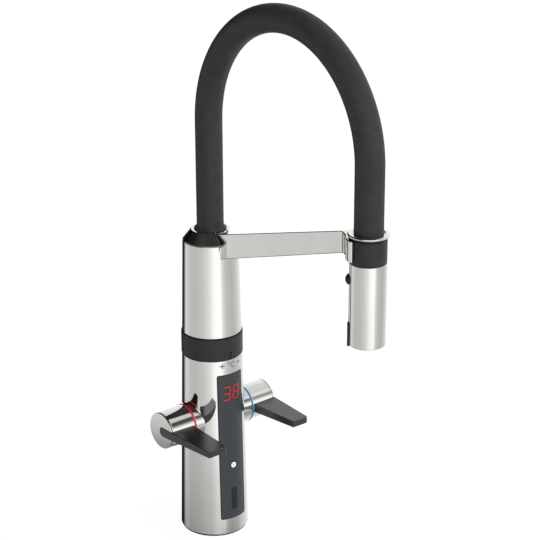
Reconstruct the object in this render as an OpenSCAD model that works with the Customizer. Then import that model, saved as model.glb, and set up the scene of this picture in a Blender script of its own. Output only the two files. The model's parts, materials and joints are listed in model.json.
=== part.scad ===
// Touchless kitchen faucet with a digital temperature display, two side levers
// and a hand spray on an arched hose.
// The origin is the centre of the deck gasket's underside. The spout points to -Y and +Z is up.
// The hot side is -X and the cold side is +X.

/* [Column] */
// Diameter of the column at the deck
base_d = 64; // [62:0.5:68]
// Diameter of the column at its upper edge
neck_d = 51; // [50:0.5:54]
// Height of the column's upper edge above the deck
column_h = 288; // [276:1:300]
// Height of the fixed lower column above the deck
lower_h = 178; // [174:1:184]
// Wall thickness of the two column shells
shell_wall = 2.4; // [2:0.1:2.8]
// Thickness of the deck gasket
gasket_t = 1.5; // [1:0.1:2.5]
// How far the gasket's rim stands back from the column's rim
gasket_inset = 1.2; // [0.5:0.1:2]
// Thickness of the base plate
plate_t = 12; // [10:0.5:14]

/* [Temperature ring] */
// Height of the temperature ring
ring_h = 21.9; // [18:0.1:26]
// How far the ring stands proud of the lower column
ring_proud = 0.4; // [0.2:0.1:1]
// Turn of the ring to each side of its middle, in degrees
ring_turn = 20; // [10:1:40]
// Width of the index notch
notch_w = 1.3; // [0.8:0.1:2]
// Height of the index notch
notch_h = 8; // [5:0.5:12]

/* [Hub and bar] */
// Height of the conical hub above the column's upper edge
hub_h = 10; // [8:0.5:14]
// Diameter of the hub's flat top
hub_top_d = 35; // [32:0.5:40]
// Distance from the column's axis to the hand spray's axis
reach = 210; // [190:1:230]
// Thickness of the bar, side to side
bar_w = 14; // [10:0.5:16]
// Height of the bar's root below the column's upper edge
bar_drop = 11.5; // [8:0.5:16]
// Height of the half cup's upper face above the hub's top
cup_rise = 49; // [40:1:56]
// Height of the half cup
cup_h = 18.5; // [15:0.5:22]
// Wall thickness of the half cup
cup_wall = 3; // [2.5:0.1:4]
// Radius of the blend between the bar and the half cup
cup_blend = 22; // [14:1:26]

/* [Hose] */
// Outer diameter of the hose sleeve
hose_d = 24.5; // [20:0.5:26]
// Wall thickness of the hose sleeve
hose_wall = 2.4; // [1.8:0.1:3]
// Outer diameter of the inner water hose
water_d = 13; // [11:0.5:14]
// Bore of the inner water hose
water_bore = 8; // [6:0.5:9]
// Radius of the arch over the column
arch_r = 108; // [104:1:112]
// Height of the hose's axis at the top of the arch
arch_h = 507; // [495:1:520]
// Height of the rubber boot at the hose's foot
boot_h = 5; // [4:0.5:8]

/* [Hand spray] */
// Diameter of the spray's chrome sleeve
spray_d = 31; // [29:0.5:33]
// Height of the spray's lower end above the deck
spray_bottom = 254; // [240:1:262]
// Height of the black collar
collar_h = 22.5; // [22:0.5:26]
// Gap between the half cup's upper face and the flange
flange_gap = 1.5; // [1:0.1:3]
// Diameter of the chrome flange
flange_d = 35; // [33:0.5:38]
// Thickness of the chrome flange
flange_t = 2.5; // [2:0.1:4]
// Wall thickness of the spray's sleeve
sleeve_wall = 1.3; // [1:0.1:2]
// Turn of the spray's button about the spray's axis, from +X, in degrees
button_turn = 138; // [90:1:180]
// Diameter of the button
button_d = 10.8; // [9:0.2:12]
// How far the button's dome stands out of the sleeve
button_out = 3.1; // [2.5:0.1:4]
// Travel of the button
button_travel = 2; // [1:0.1:2.2]
// Distance of the button's axis below the collar
button_drop = 15; // [12:0.5:20]
// Width of the grip strip
strip_w = 9; // [6:0.5:11]
// Height of the grip strip
strip_h = 20; // [14:1:24]
// Height of the grip strip's middle above the deck
strip_z = 262.5; // [262:0.5:268]
// How far the grip strip stands out of the sleeve
strip_out = 0.9; // [0.5:0.1:1.5]

/* [Handles] */
// Height of the handles' axis above the deck
handle_z = 114; // [108:1:120]
// Diameter of the handle barrel at its outer end
barrel_d = 34; // [32:0.5:36]
// Diameter of the handle barrel at its inner end
barrel_in_d = 36; // [35:0.5:38]
// How far the barrel's inner end stands outside the column's foot, side to side
barrel_off = 2.4; // [2.2:0.1:4]
// Length of the handle barrel
barrel_len = 24.4; // [22:0.2:27]
// Thickness of the end disc
disc_t = 1.5; // [1:0.1:2.5]
// Width of the dark groove behind the end disc
groove_w = 0.6; // [0.3:0.1:1]
// Width of the coloured ring
colour_w = 1.1; // [0.8:0.1:1.5]
// Diameter of the spindle
spindle_d = 10; // [8:0.5:11]
// Quarter turn of each lever, in degrees
lever_turn = 90; // [60:5:90]

/* [Levers] */
// Distance from the handles' axis to the lever's tip
lever_reach = 69.5; // [60:0.5:80]
// Thickness of the lever at its root
lever_t = 8.8; // [7:0.1:10]
// Thickness of the lever at its tip
lever_tip_t = 6.1; // [4:0.1:7]
// How far the lever's root lies in front of the handles' axis
root_off = 3; // [0:0.5:4]
// How far the top of the lever's tip lies below the top of its root
tip_drop = 0.5; // [0:0.1:1.5]
// How far the tip's inner corner lies outside the barrel's inner end
tip_off = 5.6; // [3.6:0.1:8]
// Width of the lever's tip
tip_w = 17; // [12:0.5:18]
// Rounding of the upper and lower edge of the lever's tip
lever_round = 1.2; // [0.6:0.1:1.8]

/* [Front panel] */
// Width of the panel opening
panel_w = 28.4; // [27:0.2:30]
// Height of the panel's lower edge above the deck
panel_z0 = 16.8; // [16:0.1:22]
// Distance from the panel's upper edge to the top of the lower column
panel_top_gap = 13.8; // [13:0.1:20]
// Thickness of the panel
panel_t = 2.5; // [2.2:0.1:3]
// Width of the dark seal round the panel
seal_w = 0.9; // [0.4:0.1:1.2]
// Corner radius of the panel opening
panel_r = 2; // [1:0.1:3]
// Height of the display digits
digit_h = 14.2; // [10:0.2:16]
// Width of one display digit
digit_w = 7.8; // [6:0.1:8.2]
// Distance between the middles of the two digits
digit_pitch = 10.4; // [10:0.1:11]
// Stroke width of a display segment
digit_stroke = 1.3; // [0.9:0.1:1.5]
// Slant of the digits, in degrees
digit_slant = 4; // [0:1:8]
// Height of the digits' middle above the deck
digit_z = 145; // [142:0.5:148]
// Width of the dark display window
display_w = 22; // [20.6:0.1:23]
// Height of the dark display window
display_h = 19; // [17.6:0.1:21]
// Height of the touch key above the deck
key_z = 71.5; // [60:0.5:80]
// Diameter of the touch key
key_d = 5.2; // [4:0.1:7]
// Width of the sensor window
window_w = 7; // [6:0.1:9]
// Height of the sensor window
window_h = 23.4; // [18:0.2:28]
// Height of the sensor window's middle above the deck
window_z = 37.1; // [34:0.1:42]
// Depth of the pockets for the panel's inserts
insert_t = 1.2; // [0.8:0.1:1.6]

/* [Inlets] */
// Distance of each inlet port from the middle
inlet_x = 9; // [8.5:0.1:10]
// Bore of each inlet port, an M10 by 1 thread's core
inlet_bore = 9; // [8.9:0.1:9.1]
// Depth of each inlet port
inlet_depth = 8; // [6:0.5:9]
// Outer diameter of the inlet tubes
tube_d = 8; // [7:0.5:8.5]
// Wall thickness of the inlet and riser tubes
tube_wall = 1; // [0.6:0.1:1.2]
// Bore of the stud hole, an M8 thread's core
stud_bore = 6.8; // [6.6:0.1:6.9]
// Depth of the stud hole
stud_depth = 10; // [8:0.5:11]
// Distance of the stud hole from the middle
stud_y = 11.5; // [10.5:0.5:12.5]
// Bore of the cable gland
cable_bore = 5; // [4:0.5:6]
// Distance of the cable gland from the middle
cable_y = 11.5; // [11:0.5:13]

/* [Inside] */
// Diameter of the valve block
block_d = 28; // [27:0.5:30]
// Half the length of the valve block
block_half = 24; // [22:0.5:24.5]
// Diameter of the ceramic cartridges
cartridge_d = 20; // [19:0.5:21]
// Half the width of the web between the two cartridges
web_half = 8; // [6.5:0.5:9]
// Diameter of the neck that the upper column turns on
neck_pin_d = 28; // [24:0.5:30]
// Outer diameter of the riser tube
riser_d = 10; // [9:0.5:11]
// Distance of the solenoid's axis behind the riser
coil_y = 13.6; // [13.6:0.1:14]
// Diameter of the solenoid coil
coil_d = 16; // [14:0.5:16]
// Height of the solenoid coil
coil_h = 17; // [14:0.5:18]
// Diameter of the solenoid plunger
plunger_d = 8; // [6:0.5:8]
// Travel of the solenoid plunger
plunger_travel = 3; // [2:0.5:3.5]
// Thickness of the control board
board_t = 1.6; // [1.2:0.2:2]
// Width of the control board
board_w = 20; // [18:0.5:21]
// Distance of the control board's front face from the column's axis
board_y = 20; // [19:0.5:20.5]

/* [Fits] */
// Radial clearance of a shaft that turns or slides in its hole
fit = 0.05; // [0.02:0.01:0.08]
// Gap between moving faces that don't carry each other
gap = 0.3; // [0.2:0.05:0.4]

/* [Hidden] */
$fn = 96;

LEFT = -1;
RIGHT = 1;
// Spare length that makes a cut run past a face
over = 1;

// Outer radius of the column at height z
function col_r(z) = (base_d - (base_d - neck_d) * z / column_h) / 2;

// Column levels
plate_top = gasket_t + plate_t;
plate_r = col_r(plate_top) - shell_wall;
ring_z = lower_h;
ring_top = lower_h + ring_h;
ring_r = col_r(lower_h) + ring_proud;
upper_z = ring_top + gap;
hub_top = column_h + hub_h;
cup_top = hub_top + cup_rise;
cup_bottom = cup_top - cup_h;

// Neck and its bearings
pin_r = neck_pin_d / 2;
collar_r = col_r(lower_h) - 3;
collar_top = ring_top + 0.1;
neck_flange_h = 12;
neck_flange_r = collar_r - 0.2;
neck_wall = 4.5;
neck_roof = 8.4;
neck_top = column_h - 2;
bush_z = collar_top;
bush_h = 12;
bush_top = bush_z + bush_h;
bush_r = col_r(upper_z) - 2.8;
clip_t = 1.2;
clip_z = bush_top + gap;
clip_groove_r = pin_r - 1.4;
clip_r = pin_r + 3;
plug_h = 26;
plug_z = column_h - plug_h;
plug_r = col_r(column_h) - 2.7;
upper_bush_h = 14;
upper_bush_wall = 2;
chamber_r = pin_r + gap;
chamber_top = column_h + 1;
seal_r = 1.1;
seal_groove = 2;
seal_z = [plug_z + upper_bush_h + 3, plug_z + upper_bush_h + 7];
stop_r = 1.2;
stop_z = ring_z + ring_h / 2;
stop_depth = 1.6;
stop_half = ring_turn + asin(stop_r / collar_r) + 0.6;
magnet_r = 1.5;
magnet_depth = 2.3;
ring_edge = 0.6;
notch_depth = 0.5;

// Hose and hand spray levels
hose_r = hose_d / 2;
water_r = water_d / 2;
fall_r = reach - arch_r;
flange_z = cup_top + flange_gap;
collar_z = flange_z - gap - collar_h;
spray_r = spray_d / 2;
spray_in_r = spray_r - sleeve_wall;
collar_out_r = spray_r - 0.1;
cup_in_r = spray_r + gap;
cup_out_r = cup_in_r + cup_wall;
hose_seat = 3;
hose_foot = hub_top - hose_seat;
water_seat = 3;
water_foot = hose_foot - water_seat;
water_end = flange_z - 4.6;
nut_h = 10.6;
nut_z = flange_z - nut_h;
nut_shoulder = 1.2;
nut_shoulder_h = 3;
stem_r = 6;
stem_h = 8;
stem_z = nut_z - stem_h;
button_z = collar_z - button_drop;
core_r = spray_in_r - 0.4;
core_top = nut_z - gap;
core_wide_z = button_z - button_d / 2 - 4.6;
nozzle_h = 8;
nozzle_inset = 0.6;
button_r = button_d / 2;
button_back = spray_r - 6;
button_hole_r = button_r + 2 * fit;
pocket_back = button_back - button_travel - 1;
button_rim_r = button_r + 0.8;
button_stop = spray_in_r - 1.7;
spring_r = 3;
spring_seat = 3;
spring_wall = 0.7;
dome_r = (button_r * button_r + button_out * button_out) / (2 * button_out);
dock_r = 3.5;
dock_t = 5;

// Handles
barrel_in = base_d / 2 + barrel_off;
barrel_out = barrel_in + barrel_len;
barrel_r = barrel_d / 2;
barrel_in_r = barrel_in_d / 2;
colour_x = barrel_in - gap - colour_w;
sleeve_r = barrel_in_r + 0.2;
spigot_r = block_d / 2 + 0.6;
spindle_r = spindle_d / 2;
spindle_end = barrel_in + 10.6;
cartridge_r = cartridge_d / 2;
cartridge_floor = 0.8;
rotor_r = cartridge_r - 1.9;
rotor_t = 3;
rotor_x = web_half + cartridge_floor + gap;
barrel_hub_r = spindle_r + 3;
barrel_hub_x = spindle_end + 2;
barrel_cavity = 5.6;
lever_half = lever_t / 2;
lever_out = barrel_out + groove_w + disc_t + 0.2;
lever_seat = 0.05;
tip_in = barrel_in + tip_off;
tip_out = tip_in + tip_w;
slot_len = barrel_r + 3;

// Panel
panel_z1 = lower_h - panel_top_gap;
panel_h = panel_z1 - panel_z0;
panel_mid = (panel_z0 + panel_z1) / 2;
cover_w = panel_w - 2 * seal_w;
cover_h = panel_h - 2 * seal_w;
cover_r = max(panel_r - seal_w, 0.3);
lip_w = 2;
lip_t = 0.8;
lip_depth = panel_t + 0.1;
digit_t = 0.6;
segment_gap = 0.25;
key_t = 0.8;
module_gap = 1;
display_module_w = 18;
sensor_module_w = 8;
sensor_module_h = 21;
lens_out = 0.8;

// Distance from the column's axis to the front of a module of width w that ends at height z
function module_front(w, z) = sqrt(pow(col_r(z) - panel_t, 2) - w * w / 4) - module_gap;

// Inlets and water path
port_seat = 4;
block_r = block_d / 2;
block_foot = block_r + 3;
block_head = block_r + 4;
tube_r = tube_d / 2;
tube_top = handle_z - block_r + 1;
solenoid_z = handle_z + block_head;
solenoid_h = 16;
solenoid_seat = 5;
solenoid_w = 22;
solenoid_wall = 3.5;
solenoid_front = 7;
solenoid_top = solenoid_z + solenoid_h;
riser_r = riser_d / 2;
riser_seat = 3;
riser_top = collar_top - 0.4;
coil_r = coil_d / 2;
coil_cap = 2;
plunger_r = plunger_d / 2;
plunger_h = 14;
plunger_z = solenoid_top - solenoid_seat;
plunger_spring_h = coil_h - coil_cap - (plunger_z + plunger_h - solenoid_top);
board_z0 = panel_z0 + 5;
board_z1 = panel_z1 - 4;
post_r = 2.5;
post_x = 7;
post_pin_r = 1.25;

// A solid turned about the Z axis from a half outline
module turned(points) {
  rotate_extrude() polygon(points);
}

// A rod along the X axis
module rod_x(r, x0, x1) {
  translate([x0, 0, 0]) rotate([0, 90, 0]) cylinder(r = r, h = x1 - x0);
}

// A tapered rod along the X axis
module cone_x(r0, r1, x0, x1) {
  translate([x0, 0, 0]) rotate([0, 90, 0]) cylinder(r1 = r0, r2 = r1, h = x1 - x0);
}

// A rod along the Y axis
module rod_y(r, y0, y1) {
  translate([0, y1, 0]) rotate([90, 0, 0]) cylinder(r = r, h = y1 - y0);
}

// A block given by its low and high corners
module block(low, high) {
  translate(low) cube(high - low);
}

// A flat rectangle with round corners, about its middle
module round_rect(w, h, r) {
  square([w - 2 * r, h], center = true);
  square([w, h - 2 * r], center = true);
  for (x = [-1, 1], y = [-1, 1]) translate([x * (w / 2 - r), y * (h / 2 - r)]) circle(r);
}

// Stands a flat shape upright, facing the front, and draws it out towards the front
module to_front(z, y0, y1) {
  translate([0, y0, z]) rotate([90, 0, 0]) linear_extrude(y0 - y1) children();
}

// Children made for the cold side at the handles' height, mirrored for the hot side
module at_side(side) {
  mirror([side < 0 ? 1 : 0, 0, 0]) translate([0, 0, handle_z]) children();
}

// The full solid cone of the column between two heights
module column_solid(z0, z1) {
  translate([0, 0, z0]) cylinder(r1 = col_r(z0), r2 = col_r(z1), h = z1 - z0);
}

// The layer of the lower column between two depths under its surface
module column_layer(depth0, depth1) {
  turned([
    [col_r(0) - depth1, 0], [col_r(0) - depth0, 0],
    [col_r(lower_h) - depth0, lower_h], [col_r(lower_h) - depth1, lower_h]
  ]);
}

// A flat shape cut out of a layer of the lower column's front
module front_piece(z, depth0, depth1) {
  intersection() {
    column_layer(depth0, depth1);
    to_front(z, -base_d / 8, -base_d) children();
  }
}

// Places children on the hand spray's axis
module at_spray() {
  translate([0, -reach, 0]) children();
}

// Places children, made along +X, in the direction of the spray's button
module at_button(z) {
  at_spray() translate([0, 0, z]) rotate([0, 0, button_turn]) children();
}

// Hose of outer radius r and bore b from z0 over the column to z1 over the spray
module hose(r, b, z0, z1) {
  left_z = arch_h - arch_r;
  right_z = arch_h - fall_r;
  translate([0, 0, z0]) ring_tube(r, b, left_z - z0);
  translate([0, -arch_r, left_z]) quarter(r, b, arch_r, 0);
  translate([0, -arch_r, right_z]) quarter(r, b, fall_r, 90);
  at_spray() translate([0, 0, z1]) ring_tube(r, b, right_z - z1);
}

// A plain tube
module ring_tube(r, b, h) {
  difference() {
    cylinder(r = r, h = h);
    translate([0, 0, -over]) cylinder(r = b, h = h + 2 * over);
  }
}

// A quarter of a torus tube in the YZ plane, from the angle a over +Y
module quarter(r, b, bend, a) {
  rotate([90 + a, 0, 0]) rotate([0, 90, 0]) rotate_extrude(angle = 90)
    translate([bend, 0]) difference() {
      circle(r);
      circle(b);
    }
}

module deck_gasket() {
  color("#1b1c1d") difference() {
    cylinder(r = col_r(0) - gasket_inset, h = gasket_t);
    for (x = [-inlet_x, inlet_x])
      translate([x, 0, -over]) cylinder(d = inlet_bore + 2, h = gasket_t + 2 * over);
    translate([0, -stud_y, -over]) cylinder(d = stud_bore + 2, h = gasket_t + 2 * over);
    translate([0, cable_y, -over]) cylinder(d = cable_bore + 3, h = gasket_t + 2 * over);
  }
}

module base_plate() {
  color("#a58f52") difference() {
    translate([0, 0, gasket_t]) cylinder(r = plate_r, h = plate_t);
    for (x = [-inlet_x, inlet_x]) translate([x, 0, 0]) {
      translate([0, 0, gasket_t - over]) cylinder(d = inlet_bore, h = inlet_depth + over);
      translate([0, 0, gasket_t]) cylinder(r = tube_r - tube_wall, h = plate_t);
      translate([0, 0, plate_top - port_seat]) cylinder(r = tube_r, h = port_seat + over);
    }
    translate([0, -stud_y, gasket_t - over]) cylinder(d = stud_bore, h = stud_depth + over);
    translate([0, cable_y, gasket_t - over]) cylinder(d = cable_bore + 3, h = plate_t + 2 * over);
    base_screw_rods(2, plate_r - 7, base_d);
  }
}

// Two rods along the grub screws at the rear of the base
module base_screw_rods(r, from, to) {
  for (a = [60, 120]) rotate([0, 0, a]) translate([0, 0, gasket_t + plate_t / 2])
    rod_x(r, from, to);
}

module base_screws() {
  color("#8d9092") difference() {
    base_screw_rods(2, plate_r - 7, base_d / 2 - 1);
    base_screw_rods(1, plate_r - 2, base_d / 2);
  }
}

module cable_gland() {
  color("#232527") translate([0, cable_y, gasket_t]) difference() {
    union() {
      cylinder(d = cable_bore + 3, h = plate_t);
      translate([0, 0, plate_t]) cylinder(d = cable_bore + 5, h = 2);
    }
    translate([0, 0, -over]) cylinder(d = cable_bore, h = plate_t + 2 + 2 * over);
  }
}

module lower_shell() {
  foot_round = 1;
  land_z = lower_h - neck_flange_h;
  color("#d4d6d8") difference() {
    turned([
      [plate_r, gasket_t], [col_r(0) - foot_round, gasket_t],
      [col_r(gasket_t + foot_round), gasket_t + foot_round],
      [col_r(lower_h), lower_h], [neck_flange_r, lower_h],
      [neck_flange_r, land_z], [col_r(land_z) - shell_wall, land_z],
      [plate_r, plate_top]
    ]);
    to_front(panel_mid, -base_d / 8, -base_d) round_rect(panel_w, panel_h, panel_r);
    translate([0, 0, handle_z]) rod_x(spigot_r, -base_d, base_d);
    base_screw_rods(2, plate_r - over, base_d);
  }
}

module panel_seal() {
  color("#141516") union() {
    front_piece(panel_mid, 0.2, lip_depth) difference() {
      round_rect(panel_w, panel_h, panel_r);
      round_rect(cover_w, cover_h, cover_r);
    }
    front_piece(panel_mid, lip_depth, lip_depth + lip_t) difference() {
      round_rect(panel_w, panel_h, panel_r);
      round_rect(cover_w - 2 * lip_w, cover_h - 2 * lip_w, cover_r);
    }
  }
}

module panel_cover() {
  color("#46494b") difference() {
    front_piece(panel_mid, 0, panel_t) round_rect(cover_w, cover_h, cover_r);
    front_piece(digit_z, -over, insert_t) round_rect(display_w, display_h, 1);
    front_piece(key_z, -over, key_t) circle(d = key_d);
    front_piece(window_z, -over, insert_t) round_rect(window_w, window_h, window_w / 2.2);
  }
}

// One segment of a digit: a bar of length l across or upright
module segment(x, y, l, upright) {
  translate([x, y]) rotate(upright ? 90 : 0) polygon([
    [-l / 2, 0], [-l / 2 + digit_stroke / 2, digit_stroke / 2],
    [l / 2 - digit_stroke / 2, digit_stroke / 2], [l / 2, 0],
    [l / 2 - digit_stroke / 2, -digit_stroke / 2],
    [-l / 2 + digit_stroke / 2, -digit_stroke / 2]
  ]);
}

// A seven-segment digit; lit lists the segments from the top one clockwise, the middle last
module digit(lit) {
  w = digit_w - digit_stroke;
  h = digit_h - digit_stroke;
  across = w - 2 * segment_gap;
  tall = h / 2 - 2 * segment_gap;
  places = [
    [0, h / 2, false], [w / 2, h / 4, true], [w / 2, -h / 4, true],
    [0, -h / 2, false], [-w / 2, -h / 4, true], [-w / 2, h / 4, true], [0, 0, false]
  ];
  multmatrix([[1, tan(digit_slant), 0, 0], [0, 1, 0, 0], [0, 0, 1, 0], [0, 0, 0, 1]])
    for (i = lit) segment(places[i][0], places[i][1], places[i][2] ? tall : across, places[i][2]);
}

// The number 38
module reading() {
  translate([-digit_pitch / 2, 0]) digit([0, 1, 2, 3, 6]);
  translate([digit_pitch / 2, 0]) digit([0, 1, 2, 3, 4, 5, 6]);
}

module display_window() {
  color("#1d1e20") difference() {
    front_piece(digit_z, 0, insert_t) round_rect(display_w, display_h, 1);
    front_piece(digit_z, -over, digit_t) reading();
  }
}

module display_digits() {
  color("#d8202c") front_piece(digit_z, 0, digit_t) reading();
}

module touch_key() {
  color("#e8e8e6") difference() {
    front_piece(key_z, 0, key_t) circle(d = key_d);
    front_piece(key_z, -over, key_t / 2) union() {
      translate([0, key_d / 9]) circle(d = key_d / 3.2);
      square([key_d / 6, key_d / 1.9], center = true);
    }
  }
}

module sensor_window() {
  color("#0e0f10") front_piece(window_z, 0, insert_t)
    round_rect(window_w, window_h, window_w / 2.2);
}

module control_board() {
  color("#1f6b3f") difference() {
    block([-board_w / 2, -board_y, board_z0], [board_w / 2, -board_y + board_t, board_z1]);
    for (x = [-post_x, post_x]) translate([x, 0, handle_z]) rod_y(post_pin_r, -base_d, 0);
  }
}

module display_module() {
  front = module_front(display_module_w, digit_z + display_h / 2);
  color("#2a2c2e") block(
    [-display_module_w / 2, -front, digit_z - display_h / 2],
    [display_module_w / 2, -board_y, digit_z + display_h / 2]);
}

module sensor_module() {
  lens_r = 2;
  front = module_front(sensor_module_w, window_z + sensor_module_h / 2);
  color("#1a1b1d") {
    block([-sensor_module_w / 2, -front + lens_out, window_z - sensor_module_h / 2],
      [sensor_module_w / 2, -board_y, window_z + sensor_module_h / 2]);
    for (z = [-sensor_module_h / 4, sensor_module_h / 4]) translate([0, 0, window_z + z])
      rod_y(lens_r, -front, -board_y);
  }
}

module valve_block() {
  color("#b29a56") translate([0, 0, handle_z]) difference() {
    union() {
      rod_x(block_r, -block_half, block_half);
      for (x = [-inlet_x, inlet_x])
        translate([x, 0, -block_foot]) cylinder(r = tube_r + 2, h = block_foot);
      cylinder(r = riser_r + 2, h = block_head);
      for (x = [-post_x, post_x]) translate([x, 0, 0]) {
        rod_y(post_r, -board_y + board_t, 0);
        rod_y(post_pin_r, -board_y - 1.2, 0);
      }
    }
    for (side = [LEFT, RIGHT]) mirror([side < 0 ? 1 : 0, 0, 0])
      rod_x(cartridge_r, web_half, block_half + over);
    for (x = [-inlet_x, inlet_x]) translate([x, 0, -block_foot - over]) {
      cylinder(r = tube_r - tube_wall, h = block_foot);
      cylinder(r = tube_r, h = over + block_foot - block_r + 1);
    }
    cylinder(r = riser_r - tube_wall, h = block_head + over);
    rod_x(2.5, -web_half - over, web_half + over);
  }
}

module inlet_tubes() {
  color("#b87342") for (x = [-inlet_x, inlet_x])
    translate([x, 0, plate_top - port_seat])
      ring_tube(tube_r, tube_r - tube_wall, tube_top - plate_top + port_seat);
}

module cartridge(side) {
  color("#e6e4dc") at_side(side) difference() {
    rod_x(cartridge_r, web_half, block_half);
    rod_x(rotor_r + gap, web_half + cartridge_floor, rotor_x + rotor_t + gap);
    rod_x(spindle_r + fit, web_half + cartridge_floor, block_half + over);
    translate([0, 0, cartridge_r / 2]) rod_x(2, web_half - over, web_half + 2);
    translate([inlet_x, 0, -cartridge_r - over]) cylinder(r = 1, h = cartridge_r);
  }
}

module spindle(side) {
  color("#c9b877") at_side(side) union() {
    rod_x(rotor_r, rotor_x, rotor_x + rotor_t);
    rod_x(spindle_r, rotor_x, spindle_end);
  }
}

module base_sleeve(side) {
  color("#d4d6d8") at_side(side) difference() {
    union() {
      difference() {
        rod_x(sleeve_r, 0, colour_x);
        translate([0, 0, -handle_z]) column_solid(0, lower_h);
      }
      rod_x(spigot_r, block_half, colour_x);
    }
    rod_x(spindle_r + gap, 0, colour_x + over);
  }
}

module colour_ring(side, paint) {
  color(paint) at_side(side) difference() {
    rod_x(sleeve_r - 0.1, colour_x, colour_x + colour_w);
    rod_x(spindle_r + 3, colour_x - over, colour_x + colour_w + over);
  }
}

// The room that the lever takes up in the barrel and the disc
module lever_slot(x1) {
  r = lever_half + lever_seat;
  block([barrel_in - over, -slot_len, -r], [x1, -barrel_hub_r - 0.2, r]);
  block([barrel_hub_x, -slot_len, -r], [x1, -root_off, r]);
  translate([0, -root_off, 0]) rod_x(r, barrel_hub_x, x1);
}

module barrel(side) {
  color("#d4d6d8") at_side(side) difference() {
    cone_x(barrel_in_r, barrel_r, barrel_in, barrel_out);
    difference() {
      rod_x(barrel_r - 2.6, barrel_in - over, barrel_in + barrel_cavity);
      rod_x(barrel_hub_r, barrel_in - over, barrel_in + barrel_cavity);
    }
    rod_x(spindle_r, barrel_in - over, spindle_end);
    lever_slot(barrel_out + over);
  }
}

module end_disc(side) {
  edge = 0.4;
  x0 = barrel_out + groove_w;
  color("#d4d6d8") at_side(side) difference() {
    union() {
      rod_x(barrel_r - 0.9, barrel_out, x0);
      rod_x(barrel_r, x0, x0 + disc_t - edge);
      cone_x(barrel_r, barrel_r - edge, x0 + disc_t - edge, x0 + disc_t);
    }
    lever_slot(x0 + disc_t + over);
  }
}

module lever(side) {
  root_in = barrel_in + 0.4;
  tip_top = lever_half - tip_drop - lever_round;
  tip_low = tip_top - lever_tip_t + 2 * lever_round;
  color("#303234") at_side(side) difference() {
    hull() {
      translate([0, -root_off, 0]) rod_x(lever_half, root_in, lever_out, $fn = 32);
      for (z = [tip_top, tip_low])
        translate([0, -lever_reach + lever_round, z]) rod_x(lever_round, tip_in, tip_out, $fn = 24);
    }
    block([barrel_in - over, -barrel_hub_r - 0.2, -lever_t], [barrel_hub_x, lever_t, lever_t]);
  }
}

module solenoid_body() {
  seat_r = plunger_r + 1.6;
  color("#37393b") difference() {
    block([-solenoid_w / 2, -solenoid_front, solenoid_z],
      [solenoid_w / 2, coil_y + coil_r, solenoid_top]);
    translate([0, 0, solenoid_z - over]) cylinder(r = riser_r - tube_wall, h = 6 + over);
    translate([0, 0, solenoid_top - riser_seat]) cylinder(r = riser_r, h = riser_seat + over);
    translate([0, 0, solenoid_z + 8.5]) cylinder(r = riser_r - tube_wall, h = solenoid_h);
    translate([0, coil_y, solenoid_top - solenoid_seat])
      cylinder(r = seat_r, h = solenoid_seat + over);
    translate([0, coil_y, solenoid_z + solenoid_wall]) cylinder(r = 2.4, h = solenoid_h);
    translate([0, 0, solenoid_z + solenoid_wall]) rod_y(1.6, 0, coil_y);
    translate([0, 0, solenoid_top - solenoid_seat + 0.9]) rod_y(0.8, 0, coil_y);
  }
}

module solenoid_coil() {
  color("#8c3b22") translate([0, coil_y, solenoid_top]) difference() {
    cylinder(r = coil_r, h = coil_h);
    translate([0, 0, -over]) cylinder(r = plunger_r + fit, h = coil_h - coil_cap + over);
  }
}

module solenoid_plunger() {
  color("#9fa3a6") translate([0, coil_y, plunger_z]) cylinder(r = plunger_r, h = plunger_h);
}

module plunger_spring() {
  color("#b9bcbe") translate([0, coil_y, plunger_z + plunger_h])
    ring_tube(plunger_r - 0.6, plunger_r - 1.4, plunger_spring_h);
}

module riser_tube() {
  color("#b87342") translate([0, 0, solenoid_top - riser_seat])
    ring_tube(riser_r, riser_r - tube_wall, riser_top - solenoid_top + riser_seat);
}

module neck() {
  foot = lower_h - neck_flange_h;
  cavity_r = collar_r - neck_wall;
  roof_z = collar_top - neck_roof;
  groove_z = clip_z - 0.1;
  color("#b29a56") difference() {
    turned([
      [cavity_r, foot], [neck_flange_r, foot], [neck_flange_r, lower_h],
      [collar_r, lower_h], [collar_r, collar_top], [pin_r, collar_top],
      [pin_r, groove_z], [clip_groove_r, groove_z],
      [clip_groove_r, groove_z + clip_t + 0.2], [pin_r, groove_z + clip_t + 0.2],
      [pin_r, seal_z[0] - seal_r - 0.1], [pin_r - seal_groove, seal_z[0] - seal_r - 0.1],
      [pin_r - seal_groove, seal_z[0] + seal_r + 0.1], [pin_r, seal_z[0] + seal_r + 0.1],
      [pin_r, seal_z[1] - seal_r - 0.1], [pin_r - seal_groove, seal_z[1] - seal_r - 0.1],
      [pin_r - seal_groove, seal_z[1] + seal_r + 0.1], [pin_r, seal_z[1] + seal_r + 0.1],
      [pin_r, neck_top], [riser_r - tube_wall, neck_top],
      [riser_r - tube_wall, riser_top], [riser_r, riser_top], [riser_r, roof_z],
      [cavity_r, roof_z]
    ]);
    translate([0, 0, stop_z]) rod_y(stop_r, 0, base_d);
  }
}

module ring_stop_pin() {
  color("#9fa3a6") translate([0, 0, stop_z])
    rod_y(stop_r, collar_r - neck_wall, collar_r + stop_depth - gap);
}

module retaining_clip() {
  color("#8d9092") difference() {
    translate([0, 0, clip_z]) ring_tube(clip_r, clip_groove_r, clip_t);
    block([-4, 0, clip_z - over], [4, base_d, clip_z + clip_t + over]);
  }
}

module swivel_seals() {
  color("#151617") for (z = seal_z) translate([0, 0, z]) rotate_extrude()
    translate([pin_r - seal_groove + seal_r, 0]) circle(seal_r, $fn = 32);
}

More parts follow.
